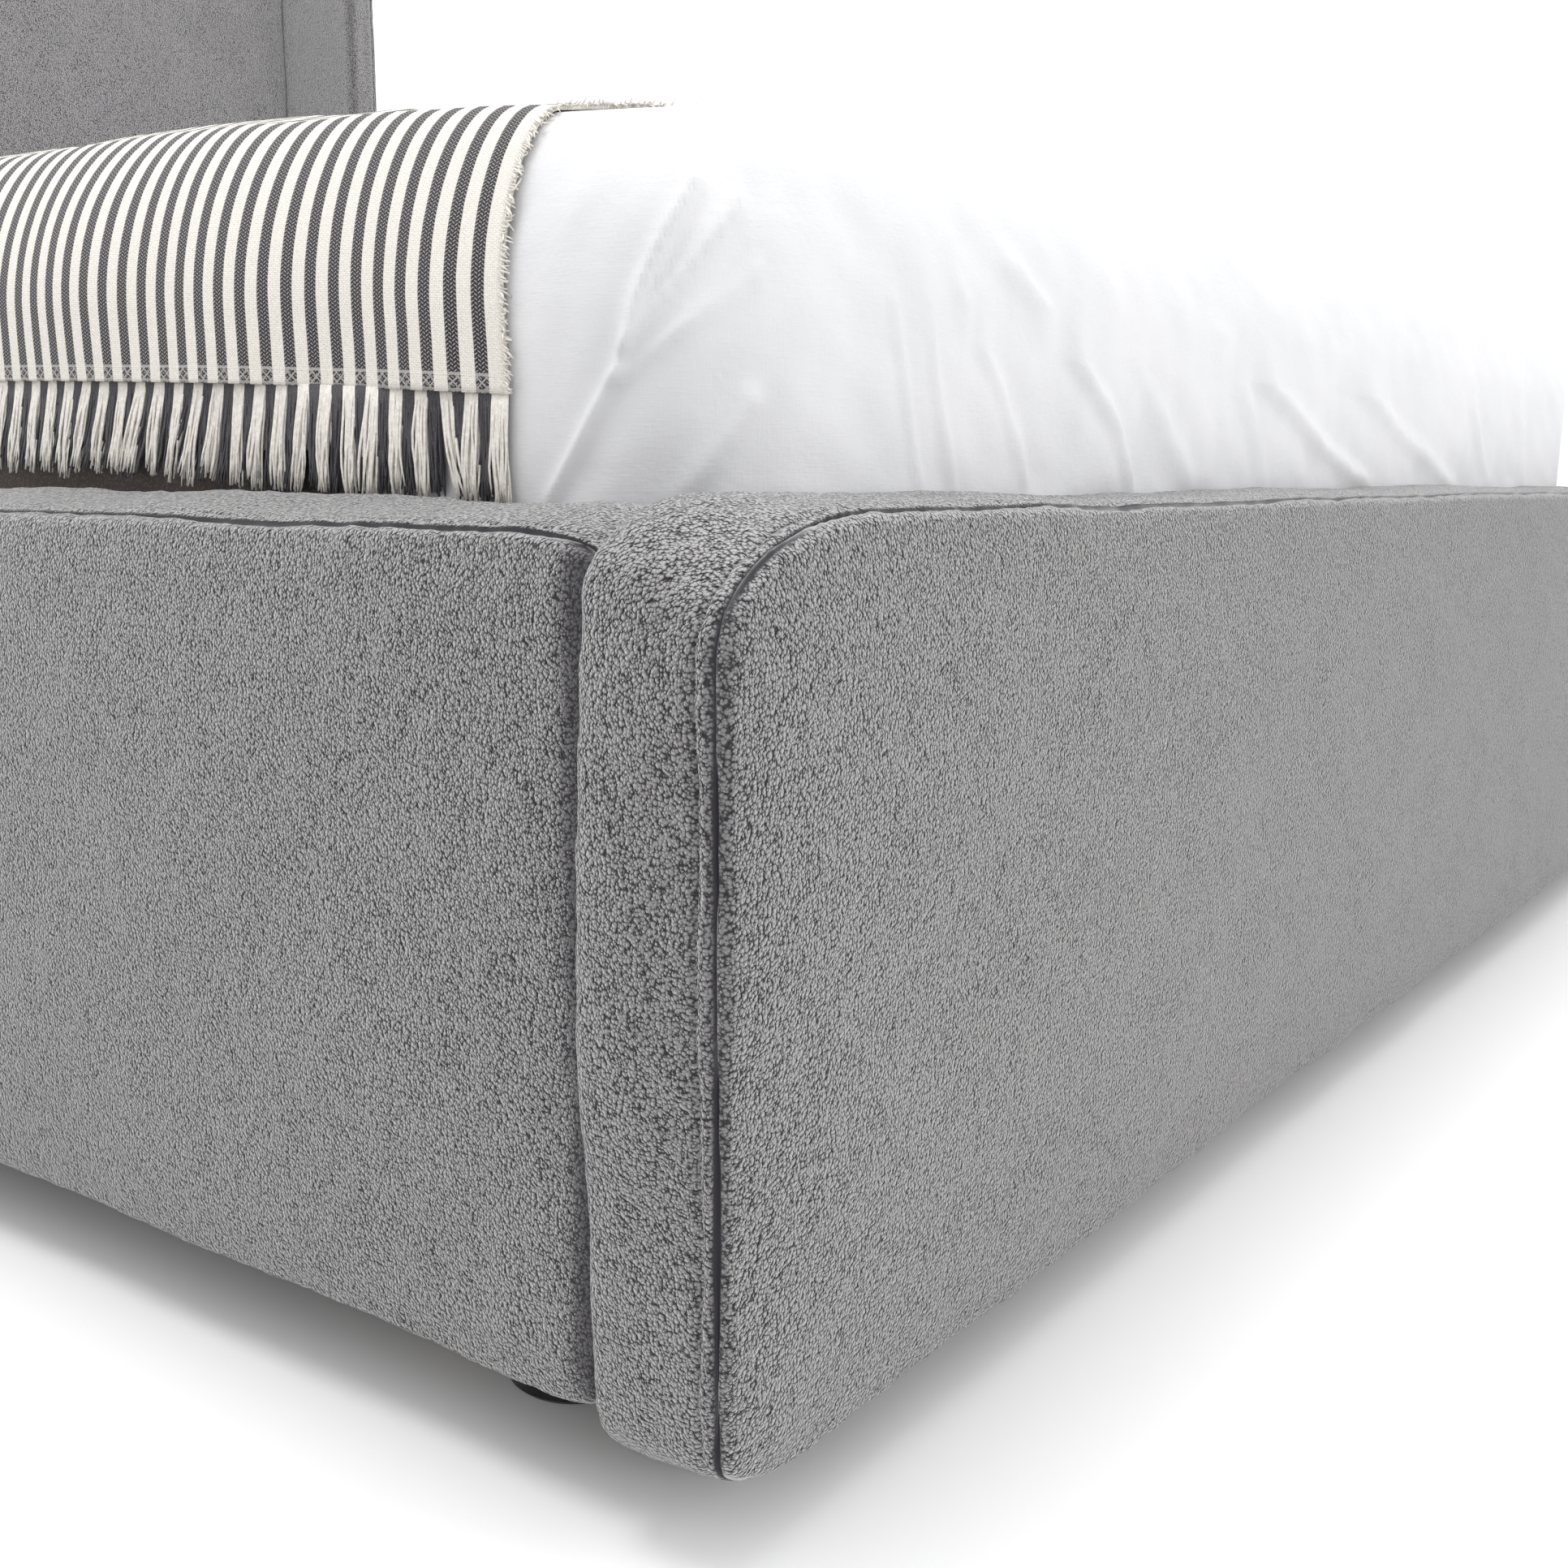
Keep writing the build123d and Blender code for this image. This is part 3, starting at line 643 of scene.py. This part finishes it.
def throw_section(y, count_wall, count_roll, count_top):
    """Points across the bed at y, from the left hem over the top to the right hem."""
    low = SHEET[0]
    out = THROW_LIFT + THROW_T
    left = low.x - out
    hem = hem_height(y)
    wall_z = np.linspace(hem, SHOULDER_START, count_wall, endpoint=False)
    wall = np.stack([np.full(count_wall, left), wall_z], axis=1)
    turn = np.linspace(0.0, 1.0, count_roll, endpoint=False) * math.pi / 2.0
    e = SHOULDER_REACH * (1.0 - np.cos(turn))
    rise = SHOULDER_START + (SHOULDER_RISE + out) * (shoulder(e) - SHOULDER_START) / SHOULDER_RISE
    top_here = top_height(low.x + e, np.full(len(e), y))
    roll = np.stack([left + e * (1.0 + out / SHOULDER_REACH), rise + top_here], axis=1)
    half = np.linspace(0.0, 1.0, count_top)
    x = left + SHOULDER_REACH + out + half * (-left - SHOULDER_REACH - out)
    top_z = SHOULDER_START + SHOULDER_RISE + out + top_height(x, np.full(len(x), y))
    top = np.stack([x, top_z], axis=1)
    half_section = np.concatenate([wall, roll, top])
    mirrored = half_section[-2::-1] * (-1.0, 1.0)
    return np.concatenate([half_section, mirrored])


def near_edge_shift(from_hem):
    """How far the throw's near edge is out of line, towards the head, at a distance along the
    cloth from its hem. At the hem it is towards the foot."""
    up = np.clip(from_hem / 0.15, 0.0, 1.0)
    return EDGE_SHIFT_HEM + EDGE_SHIFT_RISE * up ** 1.2


def make_throw(wool):
    """The cloth over the bed. It returns the piece and the points of its near edge."""
    low, high = THROW
    ys = graded(high.y - low.y, 0.0032, 0.0085, slow=0.10, growth_low=0.02, growth_high=0.05) + low.y
    sections = [throw_section(y, 9, 16, 42) for y in ys]
    points = np.array([[(x, y, z) for x, z in section] for y, section in zip(ys, sections)])
    rows, cols = points.shape[:2]
    steps = np.linalg.norm(np.diff(points, axis=1), axis=2)
    across = np.concatenate([np.zeros((rows, 1)), np.cumsum(steps, axis=1)], axis=1)
    from_hem = np.minimum(across, across[:, -1:] - across).ravel()
    v = np.repeat(ys - ys[0], cols)
    stack = points.reshape(-1, 3)
    stack[:, 1] += near_edge_shift(from_hem) * np.exp(-v / EDGE_SHIFT_REACH)
    on_top = smooth_step(0.10, 0.20, from_hem)
    free = on_top * smooth_step(0.0, 0.12, v)
    rise = 0.0016 * waves(stack, 0.21, 81) + 0.0007 * waves(stack, 0.06, 82) + 0.0042
    stack[:, 2] += top_swell(stack) * on_top + np.maximum(rise, 0.0030) * free
    stack[:, 2] -= EDGE_DROP * on_top * (1.0 - smooth_step(0.0, 0.012, v))
    outward = np.where(stack[:, 0] < 0.0, -1.0, 1.0) * (1.0 - on_top)
    ripple = 0.0012 * (1.0 + waves(stack * (1.0, 1.0, 0.4), 0.11, 83))
    stack[:, 0] += outward * ripple * smooth_step(0.0, 0.05, v)
    made = mesh_object("throw_cloth", stack, grid_faces(rows, cols, flip=True), wool)
    layer = made.data.uv_layers.new(name="cloth")
    loops = np.empty(len(made.data.loops), np.int32)
    made.data.loops.foreach_get("vertex_index", loops)
    uv = np.stack([from_hem, v], axis=1)
    layer.data.foreach_set("uv", uv[loops].astype(np.float32).ravel())
    shell = made.modifiers.new("cloth", "SOLIDIFY")
    shell.thickness = THROW_T * 0.9
    shell.offset = -1.0
    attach(made, BODY)
    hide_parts("throw")
    return made, stack[:cols]


def yarn_tubes(name, paths, radii, sides, *materials, slots=None):
    """Many short yarns as one mesh. paths is (yarn, point, xyz), radii is (yarn, point), and
    slots is each yarn's place in `materials`."""
    count, steps = paths.shape[:2]
    turns = np.arange(sides) * 2.0 * math.pi / sides
    tangent = np.gradient(paths, axis=1)
    tangent /= np.linalg.norm(tangent, axis=2, keepdims=True)
    helper = np.where(np.abs(tangent[..., 2:3]) > 0.8, (1.0, 0.0, 0.0), (0.0, 0.0, 1.0))
    first = np.cross(tangent, helper)
    first /= np.linalg.norm(first, axis=2, keepdims=True)
    second = np.cross(tangent, first)
    ring = (first[:, :, None] * np.cos(turns)[:, None] + second[:, :, None] * np.sin(turns)[:, None])
    verts = paths[:, :, None] + ring * radii[:, :, None, None]
    base = (np.arange(count) * steps * sides)[:, None, None] + (np.arange(steps - 1) * sides)[:, None]
    here = base + np.arange(sides)
    ahead = base + (np.arange(sides) + 1) % sides
    quads = np.stack([here, ahead, ahead + sides, here + sides], axis=-1).reshape(-1, 4)
    starts = (np.arange(count) * steps * sides)[:, None]
    caps = [starts + np.arange(sides)[::-1], starts + (steps - 1) * sides + np.arange(sides)]
    faces = [tuple(q) for q in quads] + [tuple(c) for block in caps for c in block]
    made = mesh_object(name, verts.reshape(-1, 3), faces, *materials)
    if slots is not None:
        side_slots = np.repeat(slots, (steps - 1) * sides)
        made.data.polygons.foreach_set("material_index", np.concatenate([side_slots, slots, slots]))
    made.data.update()
    return made


STRANDS = 22              # yarns in each bundle of fringe
YARN_R = 0.00070
FRINGE_LENGTH = 0.0455
FRINGE_SWEEP = 0.012      # the fringe hangs this far towards the head, away from the near edge
FRAY_PITCH = 0.0009       # along the throw's near edge
FRAY_R = 0.00052


def make_fringe(side, cream, dark):
    """Knotless fringe: a bundle of yarns under every stripe, dark and cream in turn."""
    low, high = THROW
    draw = np.random.default_rng(91 if side == "left" else 92)
    s = -1.0 if side == "left" else 1.0
    wall = SHEET[1].x + THROW_LIFT + 0.5 * THROW_T
    paths, radii, slots = [], [], []
    at = 0.0
    dark_turn = False
    steps = np.linspace(0.0, 1.0, 8)
    while at < (high.y - low.y) - 0.006:
        wide = STRIPE_DARK if dark_turn else STRIPE_PITCH - STRIPE_DARK
        if at == 0.0:
            wide = SELVEDGE
        middle = low.y + at + wide / 2.0 + near_edge_shift(0.0) * math.exp(-at / EDGE_SHIFT_REACH)
        into = middle - low.y
        sweep = FRINGE_SWEEP * smooth_step(0.06, 0.22, into) * (0.7 + 0.6 * draw.random())
        length = FRINGE_LENGTH + 0.0015 * draw.normal()
        spread = draw.uniform(-0.5, 0.5)
        bend = draw.normal() * 0.0025
        for k in range(STRANDS):
            start = (k + 0.5) / STRANDS - 0.5
            y0 = middle + start * wide * 0.96
            z0 = hem_height(y0) + 0.001
            own = length * draw.uniform(0.89, 1.06)
            drift = sweep + bend + start * wide * 0.35 * spread + draw.normal() * 0.0010
            curl = draw.normal() * 0.0007
            turn = draw.uniform(5.0, 9.0)
            phase = draw.uniform(0.0, 6.28)
            y = y0 + drift * steps ** 1.4 + curl * np.sin(steps * turn + phase) * steps ** 0.7
            depth = draw.uniform(0.0, 1.0) * (0.0012 if dark_turn else 0.0030)
            x = s * (wall + depth * np.sin(steps * 2.2) + 0.0008 * np.cos(steps * turn + phase) * steps)
            z = z0 - own * steps * (1.0 - 0.06 * (drift / 0.02) ** 2 * steps)
            paths.append(np.stack([x, y, z], axis=1))
            radii.append(YARN_R * draw.uniform(0.8, 1.2) * (1.0 - 0.45 * steps ** 5))
            slots.append(1 if dark_turn else 0)
        at += wide
        dark_turn = not dark_turn
    made = yarn_tubes(f"fringe_{side}", np.array(paths), np.array(radii), 3, cream, dark,
                      slots=np.array(slots, np.int32))
    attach(made, BODY)
    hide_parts(f"throw_fringe_{side}")
    return made


def make_fray(edge, cream):
    """Short loose yarns along the throw's near edge."""
    draw = np.random.default_rng(95)
    lengths = np.concatenate([[0.0], np.cumsum(np.linalg.norm(np.diff(edge, axis=0), axis=1))])
    count = int(lengths[-1] / FRAY_PITCH)
    places = (np.arange(count) + draw.uniform(0.1, 0.9, count)) * FRAY_PITCH
    start = np.stack([np.interp(places, lengths, edge[:, k]) for k in range(3)], axis=1)
    ahead = np.stack([np.interp(places + 0.002, lengths, edge[:, k]) for k in range(3)], axis=1)
    along = ahead - start
    along /= np.maximum(np.linalg.norm(along, axis=1, keepdims=True), 1e-6)
    steps = np.linspace(0.0, 1.0, 5)[None, :, None]
    reach = draw.uniform(0.0034, 0.0056, count)[:, None, None]
    lean = draw.normal(-0.45, 0.22, count)[:, None, None]
    towards = np.array([0.0, -1.0, 0.0])
    bend = draw.normal(0.0, 0.25, (count, 1, 3))
    paths = start[:, None] + reach * steps * (towards + lean * along[:, None])
    paths += reach * bend * steps ** 2
    paths[..., 1] += 0.0012
    radii = FRAY_R * draw.uniform(0.8, 1.3, (count, 1)) * (1.0 - 0.5 * steps[0, :, 0] ** 3)
    made = yarn_tubes("throw_fray", paths, radii, 3, cream)
    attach(made, BODY)
    return made


# ---- materials -----------------------------------------------------------------
BOUCLE_GREY = (0.254, 0.247, 0.251)
BOUCLE_GAP_SHADE = (0.030, 0.028, 0.031, 1.0)     # painted shade between the nubs
# painted shade in the seams' grooves and in the creases beside other boards
BOUCLE_SEAM_SHADE = (0.030, 0.028, 0.033, 1.0)
TOP_PAINTED_HIGHLIGHT = 1.90            # painted highlight: cloth facing up is made this much lighter
NUB_SHIFT = 0.0006         # how far a nub's outline wanders

# Nubs per metre, offset and height.
NUB_LAYERS = ((450.0, 0.0, 1.0), (540.0, 3.7, 0.92), (760.0, 8.1, 0.87))

CREAM = (0.80, 0.765, 0.705, 1.0)
CHARCOAL = (0.026, 0.022, 0.030, 1.0)
DARK_YARN = (0.030, 0.027, 0.034, 1.0)
FLECK_COLUMNS = 4.0        # of white flecks, across a dark stripe
FLECK_PITCH = 0.00175
HEM_STITCH_U, HEM_STITCH_V = 0.0042, 0.0052
RIB_PITCH, PICK_PITCH = 0.00125, 0.00095


def material(name):
    made = bpy.data.materials.new(name)
    made.use_nodes = True
    return made, made.node_tree, made.node_tree.nodes["Principled BSDF"]


def plug(tree, made, inputs):
    """Gives each input of a node a value or the output of another node."""
    for key, value in inputs.items():
        if isinstance(value, bpy.types.NodeSocket):
            tree.links.new(value, made.inputs[key])
        else:
            made.inputs[key].default_value = value


def node(tree, kind, inputs=None, **settings):
    made = tree.nodes.new(kind)
    for key, value in settings.items():
        setattr(made, key, value)
    plug(tree, made, inputs or {})
    return made


def math_node(tree, operation, first, second=0.0, third=0.0):
    made = node(tree, "ShaderNodeMath", {0: first, 1: second, 2: third}, operation=operation)
    return made.outputs[0]


def times(tree, first, second):
    return math_node(tree, "MULTIPLY", first, second)


def vector_node(tree, operation, first, second):
    made = node(tree, "ShaderNodeVectorMath", {0: first, 1: second}, operation=operation)
    return made.outputs[0]


def scaled(tree, vector, factor):
    made = node(tree, "ShaderNodeVectorMath", {0: vector, "Scale": factor}, operation="SCALE")
    return made.outputs[0]


def ramp(tree, value, low, high, to_low=0.0, to_high=1.0, kind="SMOOTHSTEP"):
    made = node(tree, "ShaderNodeMapRange", {
        "Value": value, "From Min": low, "From Max": high, "To Min": to_low, "To Max": to_high,
    }, interpolation_type=kind)
    return made.outputs["Result"]


def line_at(tree, value, half, soft):
    """1 within `half` of zero, and 0 from `soft` outwards."""
    return ramp(tree, math_node(tree, "ABSOLUTE", value), half, soft, 1.0, 0.0)


def centred(tree, value):
    """The place within its repeat, from -0.5 to 0.5."""
    return math_node(tree, "SUBTRACT", math_node(tree, "FRACT", value), 0.5)


def mix_color(tree, factor, first, second):
    made = node(tree, "ShaderNodeMix", {0: factor, 6: first, 7: second}, data_type="RGBA")
    return made.outputs[2]


def noise(tree, coords, scale, detail, roughness=0.5):
    return node(tree, "ShaderNodeTexNoise", {
        "Vector": coords, "Scale": scale, "Detail": detail, "Roughness": roughness,
    })


def bump(tree, height, distance, strength, under=None):
    inputs = {"Height": height, "Distance": distance, "Strength": strength}
    if under is not None:
        inputs["Normal"] = under
    return node(tree, "ShaderNodeBump", inputs).outputs["Normal"]


def object_coords(tree):
    return node(tree, "ShaderNodeTexCoord").outputs["Object"]


def boucle_material():
    """Grey boucle: rounded nubs about 2 mm across, heaped against each other."""
    made, tree, shader = material("boucle_cloth")
    coords = object_coords(tree)
    warp = noise(tree, coords, 500.0, 1.0, 0.5).outputs["Color"]
    shift = scaled(tree, vector_node(tree, "SUBTRACT", warp, (0.5, 0.5, 0.5)), NUB_SHIFT)
    warped = vector_node(tree, "ADD", coords, shift)
    heap = None
    for scale, offset, size in NUB_LAYERS:
        moved = vector_node(tree, "ADD", warped, (offset, offset, offset))
        away = node(tree, "ShaderNodeTexVoronoi", {"Vector": moved, "Scale": scale, "Randomness": 0.85},
                    feature="F1").outputs["Distance"]
        nub = times(tree, ramp(tree, away, 0.0, 0.80, 1.0, 0.0), size)
        heap = nub if heap is None else math_node(tree, "SMOOTH_MAX", heap, nub, 0.06)
    seam = node(tree, "ShaderNodeAttribute", attribute_name="seam").outputs["Fac"]
    away_from_seam = ramp(tree, seam, 0.2, 0.8, 1.0, 0.0)
    body = ramp(tree, heap, 0.34, 0.74)
    fibre = noise(tree, coords, 1900.0, 2.0, 0.65).outputs["Fac"]
    patches = noise(tree, coords, 24.0, 3.0, 0.6).outputs["Fac"]
    brightness = times(tree, ramp(tree, patches, 0.3, 0.7, 0.97, 1.03),
                       ramp(tree, fibre, 0.25, 0.75, 0.84, 1.14))
    # painted highlight: the colour grows lighter as the cloth faces up
    normal = node(tree, "ShaderNodeTexCoord").outputs["Normal"]
    facing = node(tree, "ShaderNodeSeparateXYZ", {0: normal}).outputs["Z"]
    brightness = times(tree, brightness, ramp(tree, facing, 0.2, 0.95, 1.0, TOP_PAINTED_HIGHLIGHT))
    # painted shade: the gaps between the nubs take the dark gap colour
    color = mix_color(tree, body, BOUCLE_GAP_SHADE, scaled(tree, BOUCLE_GREY, brightness))
    # painted shade: the seam attribute darkens the seam's groove and the crease beside another board
    color = mix_color(tree, ramp(tree, seam, 0.30, 0.75), color, BOUCLE_SEAM_SHADE)
    height = times(tree, math_node(tree, "MULTIPLY_ADD", fibre, 0.16, heap), away_from_seam)
    plug(tree, shader, {
        "Base Color": color,
        "Normal": bump(tree, height, 0.0019, 1.0),
        "Roughness": 0.95, "Specular IOR Level": 0.12, "Sheen Weight": 1.0, "Sheen Roughness": 0.38,
    })
    return made


def cotton_material():
    """White percale: a fine plain weave, with faint creases."""
    made, tree, shader = material("white_cotton")
    coords = object_coords(tree)
    broad = noise(tree, coords, 9.0, 3.0, 0.55).outputs["Fac"]
    deeper, paler = (0.650, 0.655, 0.672, 1.0), (0.685, 0.685, 0.697, 1.0)
    color = mix_color(tree, ramp(tree, broad, 0.3, 0.7), deeper, paler)
    warp = node(tree, "ShaderNodeMapping", {"Vector": coords, "Scale": (1500.0, 1500.0, 110.0)}).outputs[0]
    weft = node(tree, "ShaderNodeMapping", {"Vector": coords, "Scale": (110.0, 110.0, 1500.0)}).outputs[0]
    over, under = (noise(tree, yarn, 1.0, 1.0).outputs["Fac"] for yarn in (warp, weft))
    weave = math_node(tree, "ADD", over, under)
    slub = noise(tree, coords, 140.0, 3.0, 0.65).outputs["Fac"]
    creases = noise(tree, coords, 38.0, 4.0, 0.62).outputs["Fac"]
    rough = bump(tree, weave, 0.00016, 0.6)
    rough = bump(tree, slub, 0.0004, 0.35, rough)
    rough = bump(tree, creases, 0.0022, 0.45, rough)
    plug(tree, shader, {
        "Base Color": color,
        "Normal": rough,
        "Roughness": 0.82, "Specular IOR Level": 0.25, "Sheen Weight": 0.10, "Sheen Roughness": 0.5,
    })
    return made


def wool_material():
    """The throw's cloth: charcoal stripes flecked with white on a ribbed cream ground.
    U is the distance from the nearer hem and V the distance from the near edge."""
    made, tree, shader = material("striped_wool")
    uv = node(tree, "ShaderNodeUVMap", uv_map="cloth").outputs["UV"]
    wander = noise(tree, uv, 60.0, 1.0).outputs["Fac"]
    parts = node(tree, "ShaderNodeSeparateXYZ", {0: uv})
    u = parts.outputs["X"]
    v = math_node(tree, "ADD", parts.outputs["Y"], math_node(tree, "MULTIPLY_ADD", wander, 0.0006, -0.0003))
    after = math_node(tree, "SUBTRACT", v, SELVEDGE)
    phase = math_node(tree, "FRACT", math_node(tree, "DIVIDE", after, STRIPE_PITCH))
    in_stripe = times(tree, phase, STRIPE_PITCH)
    past_edge = ramp(tree, after, -0.00015, 0.00015, kind="LINEAR")
    until = ramp(tree, in_stripe, STRIPE_DARK - 0.0003, STRIPE_DARK + 0.0003, 1.0, 0.0, "LINEAR")
    from_start = ramp(tree, in_stripe, 0.0, 0.0004, kind="LINEAR")
    dark = times(tree, times(tree, until, from_start), past_edge)

    column = math_node(tree, "DIVIDE", in_stripe, STRIPE_DARK / FLECK_COLUMNS)
    odd = math_node(tree, "MODULO", math_node(tree, "FLOOR", column), 2.0)
    across = centred(tree, column)
    half_row = times(tree, odd, 0.5)
    along = centred(tree, math_node(tree, "ADD", math_node(tree, "DIVIDE", u, FLECK_PITCH), half_row))
    lean = math_node(tree, "MULTIPLY_ADD", odd, 1.2, -0.6)
    slanted = math_node(tree, "ADD", along, times(tree, across, lean))
    dash = line_at(tree, slanted, 0.09, 0.19)
    fleck = times(tree, dash, line_at(tree, across, 0.30, 0.46))

    hem = ramp(tree, u, HEM_BAND, HEM_BAND + 0.0006, 1.0, 0.0, "LINEAR")
    up = math_node(tree, "DIVIDE", u, HEM_STITCH_U)
    sideways = math_node(tree, "DIVIDE", v, HEM_STITCH_V)
    rising = line_at(tree, centred(tree, math_node(tree, "ADD", up, sideways)), 0.06, 0.15)
    falling = line_at(tree, centred(tree, math_node(tree, "SUBTRACT", up, sideways)), 0.06, 0.15)
    crossing = times(tree, math_node(tree, "MAXIMUM", rising, falling), hem)
    row_low = line_at(tree, math_node(tree, "SUBTRACT", u, 0.0010), 0.0004, 0.0008)
    row_high = line_at(tree, math_node(tree, "SUBTRACT", u, HEM_BAND), 0.0004, 0.0008)
    stitched = math_node(tree, "MAXIMUM", crossing, math_node(tree, "MAXIMUM", row_low, row_high))
    pale = math_node(tree, "MAXIMUM", fleck, stitched)

    ribs = math_node(tree, "SINE", times(tree, v, 2.0 * math.pi / RIB_PITCH))
    picks = math_node(tree, "SINE", times(tree, u, 2.0 * math.pi / PICK_PITCH))
    hairs = noise(tree, object_coords(tree), 900.0, 3.0, 0.65).outputs["Fac"]
    tone = ramp(tree, hairs, 0.25, 0.75, 0.90, 1.06)
    # painted shade: the cloth is darker in the ribs' troughs
    tone = times(tree, tone, ramp(tree, ribs, -1.0, -0.2, 0.90, 1.0))
    cream, charcoal = (scaled(tree, color[:3], tone) for color in (CREAM, CHARCOAL))
    flecked = mix_color(tree, times(tree, pale, 0.48), charcoal, cream)
    color = mix_color(tree, dark, cream, flecked)

    relief = math_node(tree, "MULTIPLY_ADD", ribs, 0.35, times(tree, picks, 0.25))
    relief = math_node(tree, "ADD", relief, times(tree, pale, 0.9))
    relief = math_node(tree, "MULTIPLY_ADD", hairs, 0.8, relief)
    plug(tree, shader, {
        "Base Color": color,
        "Normal": bump(tree, relief, 0.00028, 0.8),
        "Roughness": 0.9, "Specular IOR Level": 0.2, "Sheen Weight": 0.2,
    })
    return made


def yarn_material(name, color):
    made, tree, shader = material(name)
    coords = object_coords(tree)
    hairs = noise(tree, coords, 1400.0, 2.0, 0.6).outputs["Fac"]
    strands = noise(tree, coords, 420.0, 1.0).outputs["Fac"]
    tone = times(tree, ramp(tree, hairs, 0.25, 0.75, 0.92, 1.1),
                 ramp(tree, strands, 0.3, 0.7, 0.92, 1.1))
    plug(tree, shader, {
        "Base Color": scaled(tree, color[:3], tone),
        "Normal": bump(tree, hairs, 0.0003, 0.7),
        "Roughness": 0.88, "Sheen Weight": 0.2,
    })
    return made


def ticking_material():
    made, tree, shader = material("mattress_cloth")
    coords = object_coords(tree)
    cells = node(tree, "ShaderNodeTexVoronoi", {"Vector": coords, "Scale": 620.0}, feature="F1")
    knit = cells.outputs["Distance"]
    # painted shade: each knit cell is darker towards its edges, where the cloth dips
    color = mix_color(tree, ramp(tree, knit, 0.1, 0.6), (0.20, 0.17, 0.155, 1.0), (0.12, 0.10, 0.09, 1.0))
    plug(tree, shader, {
        "Base Color": color,
        "Normal": bump(tree, knit, -0.0004, 0.6),
        "Roughness": 0.85,
    })
    return made


def wood_material(name, pale, deep, scale):
    made, tree, shader = material(name)
    coords = object_coords(tree)
    stretched = node(tree, "ShaderNodeMapping", {"Vector": coords, "Scale": (1.0, 0.12, 1.0)}).outputs[0]
    grain = noise(tree, stretched, scale, 5.0, 0.6).outputs["Fac"]
    rings = node(tree, "ShaderNodeTexWave", {
        "Vector": stretched, "Scale": scale * 0.35, "Distortion": 6.0, "Detail": 3.0,
    }, wave_type="RINGS").outputs["Fac"]
    mixed = math_node(tree, "MULTIPLY_ADD", rings, 0.45, times(tree, grain, 0.6))
    plug(tree, shader, {
        "Base Color": mix_color(tree, mixed, deep, pale),
        "Normal": bump(tree, grain, 0.0004, 0.5),
        "Roughness": 0.62,
    })
    return made


def plastic_material(name, color, roughness):
    made, tree, shader = material(name)
    coords = object_coords(tree)
    grain = noise(tree, coords, 900.0, 3.0, 0.6).outputs["Fac"]
    wear = noise(tree, coords, 40.0, 4.0, 0.65).outputs["Fac"]
    lighter = tuple(min(1.0, 1.6 * c + 0.01) for c in color[:3]) + (1.0,)
    plug(tree, shader, {
        "Base Color": mix_color(tree, ramp(tree, wear, 0.45, 0.8), color, lighter),
        "Roughness": ramp(tree, wear, 0.3, 0.8, roughness, roughness + 0.18),
        "Normal": bump(tree, grain, 0.00015, 0.4),
    })
    return made


def steel_material(name, color, roughness, metallic):
    made, tree, shader = material(name)
    coords = object_coords(tree)
    cells = node(tree, "ShaderNodeTexVoronoi", {"Vector": coords, "Scale": 130.0}, feature="F1")
    facet = node(tree, "ShaderNodeSeparateColor", {0: cells.outputs["Color"]}).outputs[0]
    scratch = noise(tree, coords, 300.0, 4.0, 0.7).outputs["Fac"]
    deeper = tuple(0.72 * c for c in color[:3]) + (1.0,)
    worn = ramp(tree, scratch, 0.3, 0.7, roughness - 0.08, roughness + 0.12)
    plug(tree, shader, {
        "Base Color": mix_color(tree, facet, color, deeper),
        "Roughness": worn,
        "Normal": bump(tree, scratch, 0.00008, 0.5),
        "Metallic": metallic,
    })
    return made


def floor_material():
    made, tree, shader = material("studio_floor")
    patches = noise(tree, object_coords(tree), 3.0, 2.0).outputs["Fac"]
    color = mix_color(tree, patches, (0.95, 0.95, 0.95, 1.0), (0.97, 0.97, 0.97, 1.0))
    plug(tree, shader, {
        "Base Color": color,
        "Roughness": 0.7, "Specular IOR Level": 0.1,
    })
    return made


def finish_frame():
    """Better materials on the parts of the frame that stay as the CAD made them."""
    looks = {
        "softwood_frame": wood_material(
            "softwood_frame", (0.62, 0.44, 0.26, 1.0), (0.40, 0.25, 0.13, 1.0), 55.0),
        "beech_slats": wood_material(
            "beech_slats", (0.70, 0.50, 0.31, 1.0), (0.50, 0.32, 0.18, 1.0), 80.0),
        "black_plastic": plastic_material("black_plastic", (0.020, 0.020, 0.021, 1.0), 0.42),
        "glide_plastic": plastic_material("glide_plastic", (0.006, 0.006, 0.007, 1.0), 0.22),
        "zinc_steel": steel_material("zinc_steel", (0.62, 0.63, 0.65, 1.0), 0.34, 1.0),
        "black_steel": steel_material("black_steel", (0.035, 0.035, 0.037, 1.0), 0.40, 0.0),
    }
    for part in frame["record"]["subparts"]:
        if part["material_slot"] in looks:
            for slot in frame["nodes"][part["node"]].material_slots:
                slot.material = looks[part["material_slot"]]


# ---- the model -----------------------------------------------------------------
make_camera()
make_studio()
make_floor()
finish_frame()

boucle = boucle_material()
cream_yarn = yarn_material("fringe_yarn", CREAM)
dark_yarn = yarn_material("fringe_yarn_dark", DARK_YARN)

make_slabs(boucle)
make_mattress(ticking_material())
sheet = make_sheet(cotton_material())
throw, near_edge = make_throw(wool_material())
fringes = [make_fringe(side, cream_yarn, dark_yarn) for side in ("left", "right")]
fray = make_fray(near_edge, cream_yarn)

for board, nodes in {
    "footboard": ("footboard_cover", "footboard_padding"),
    "side_rail_left": ("side_rail_left_cover", "side_rail_left_padding"),
    "side_rail_right": ("side_rail_right_cover", "side_rail_right_padding"),
    "headboard_panel": ("headboard_cover", "headboard_padding"),
    "wing_left": ("wing_left_cover", "wing_left_padding"),
    "wing_right": ("wing_right_cover", "wing_right_padding"),
}.items():
    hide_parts(*nodes)
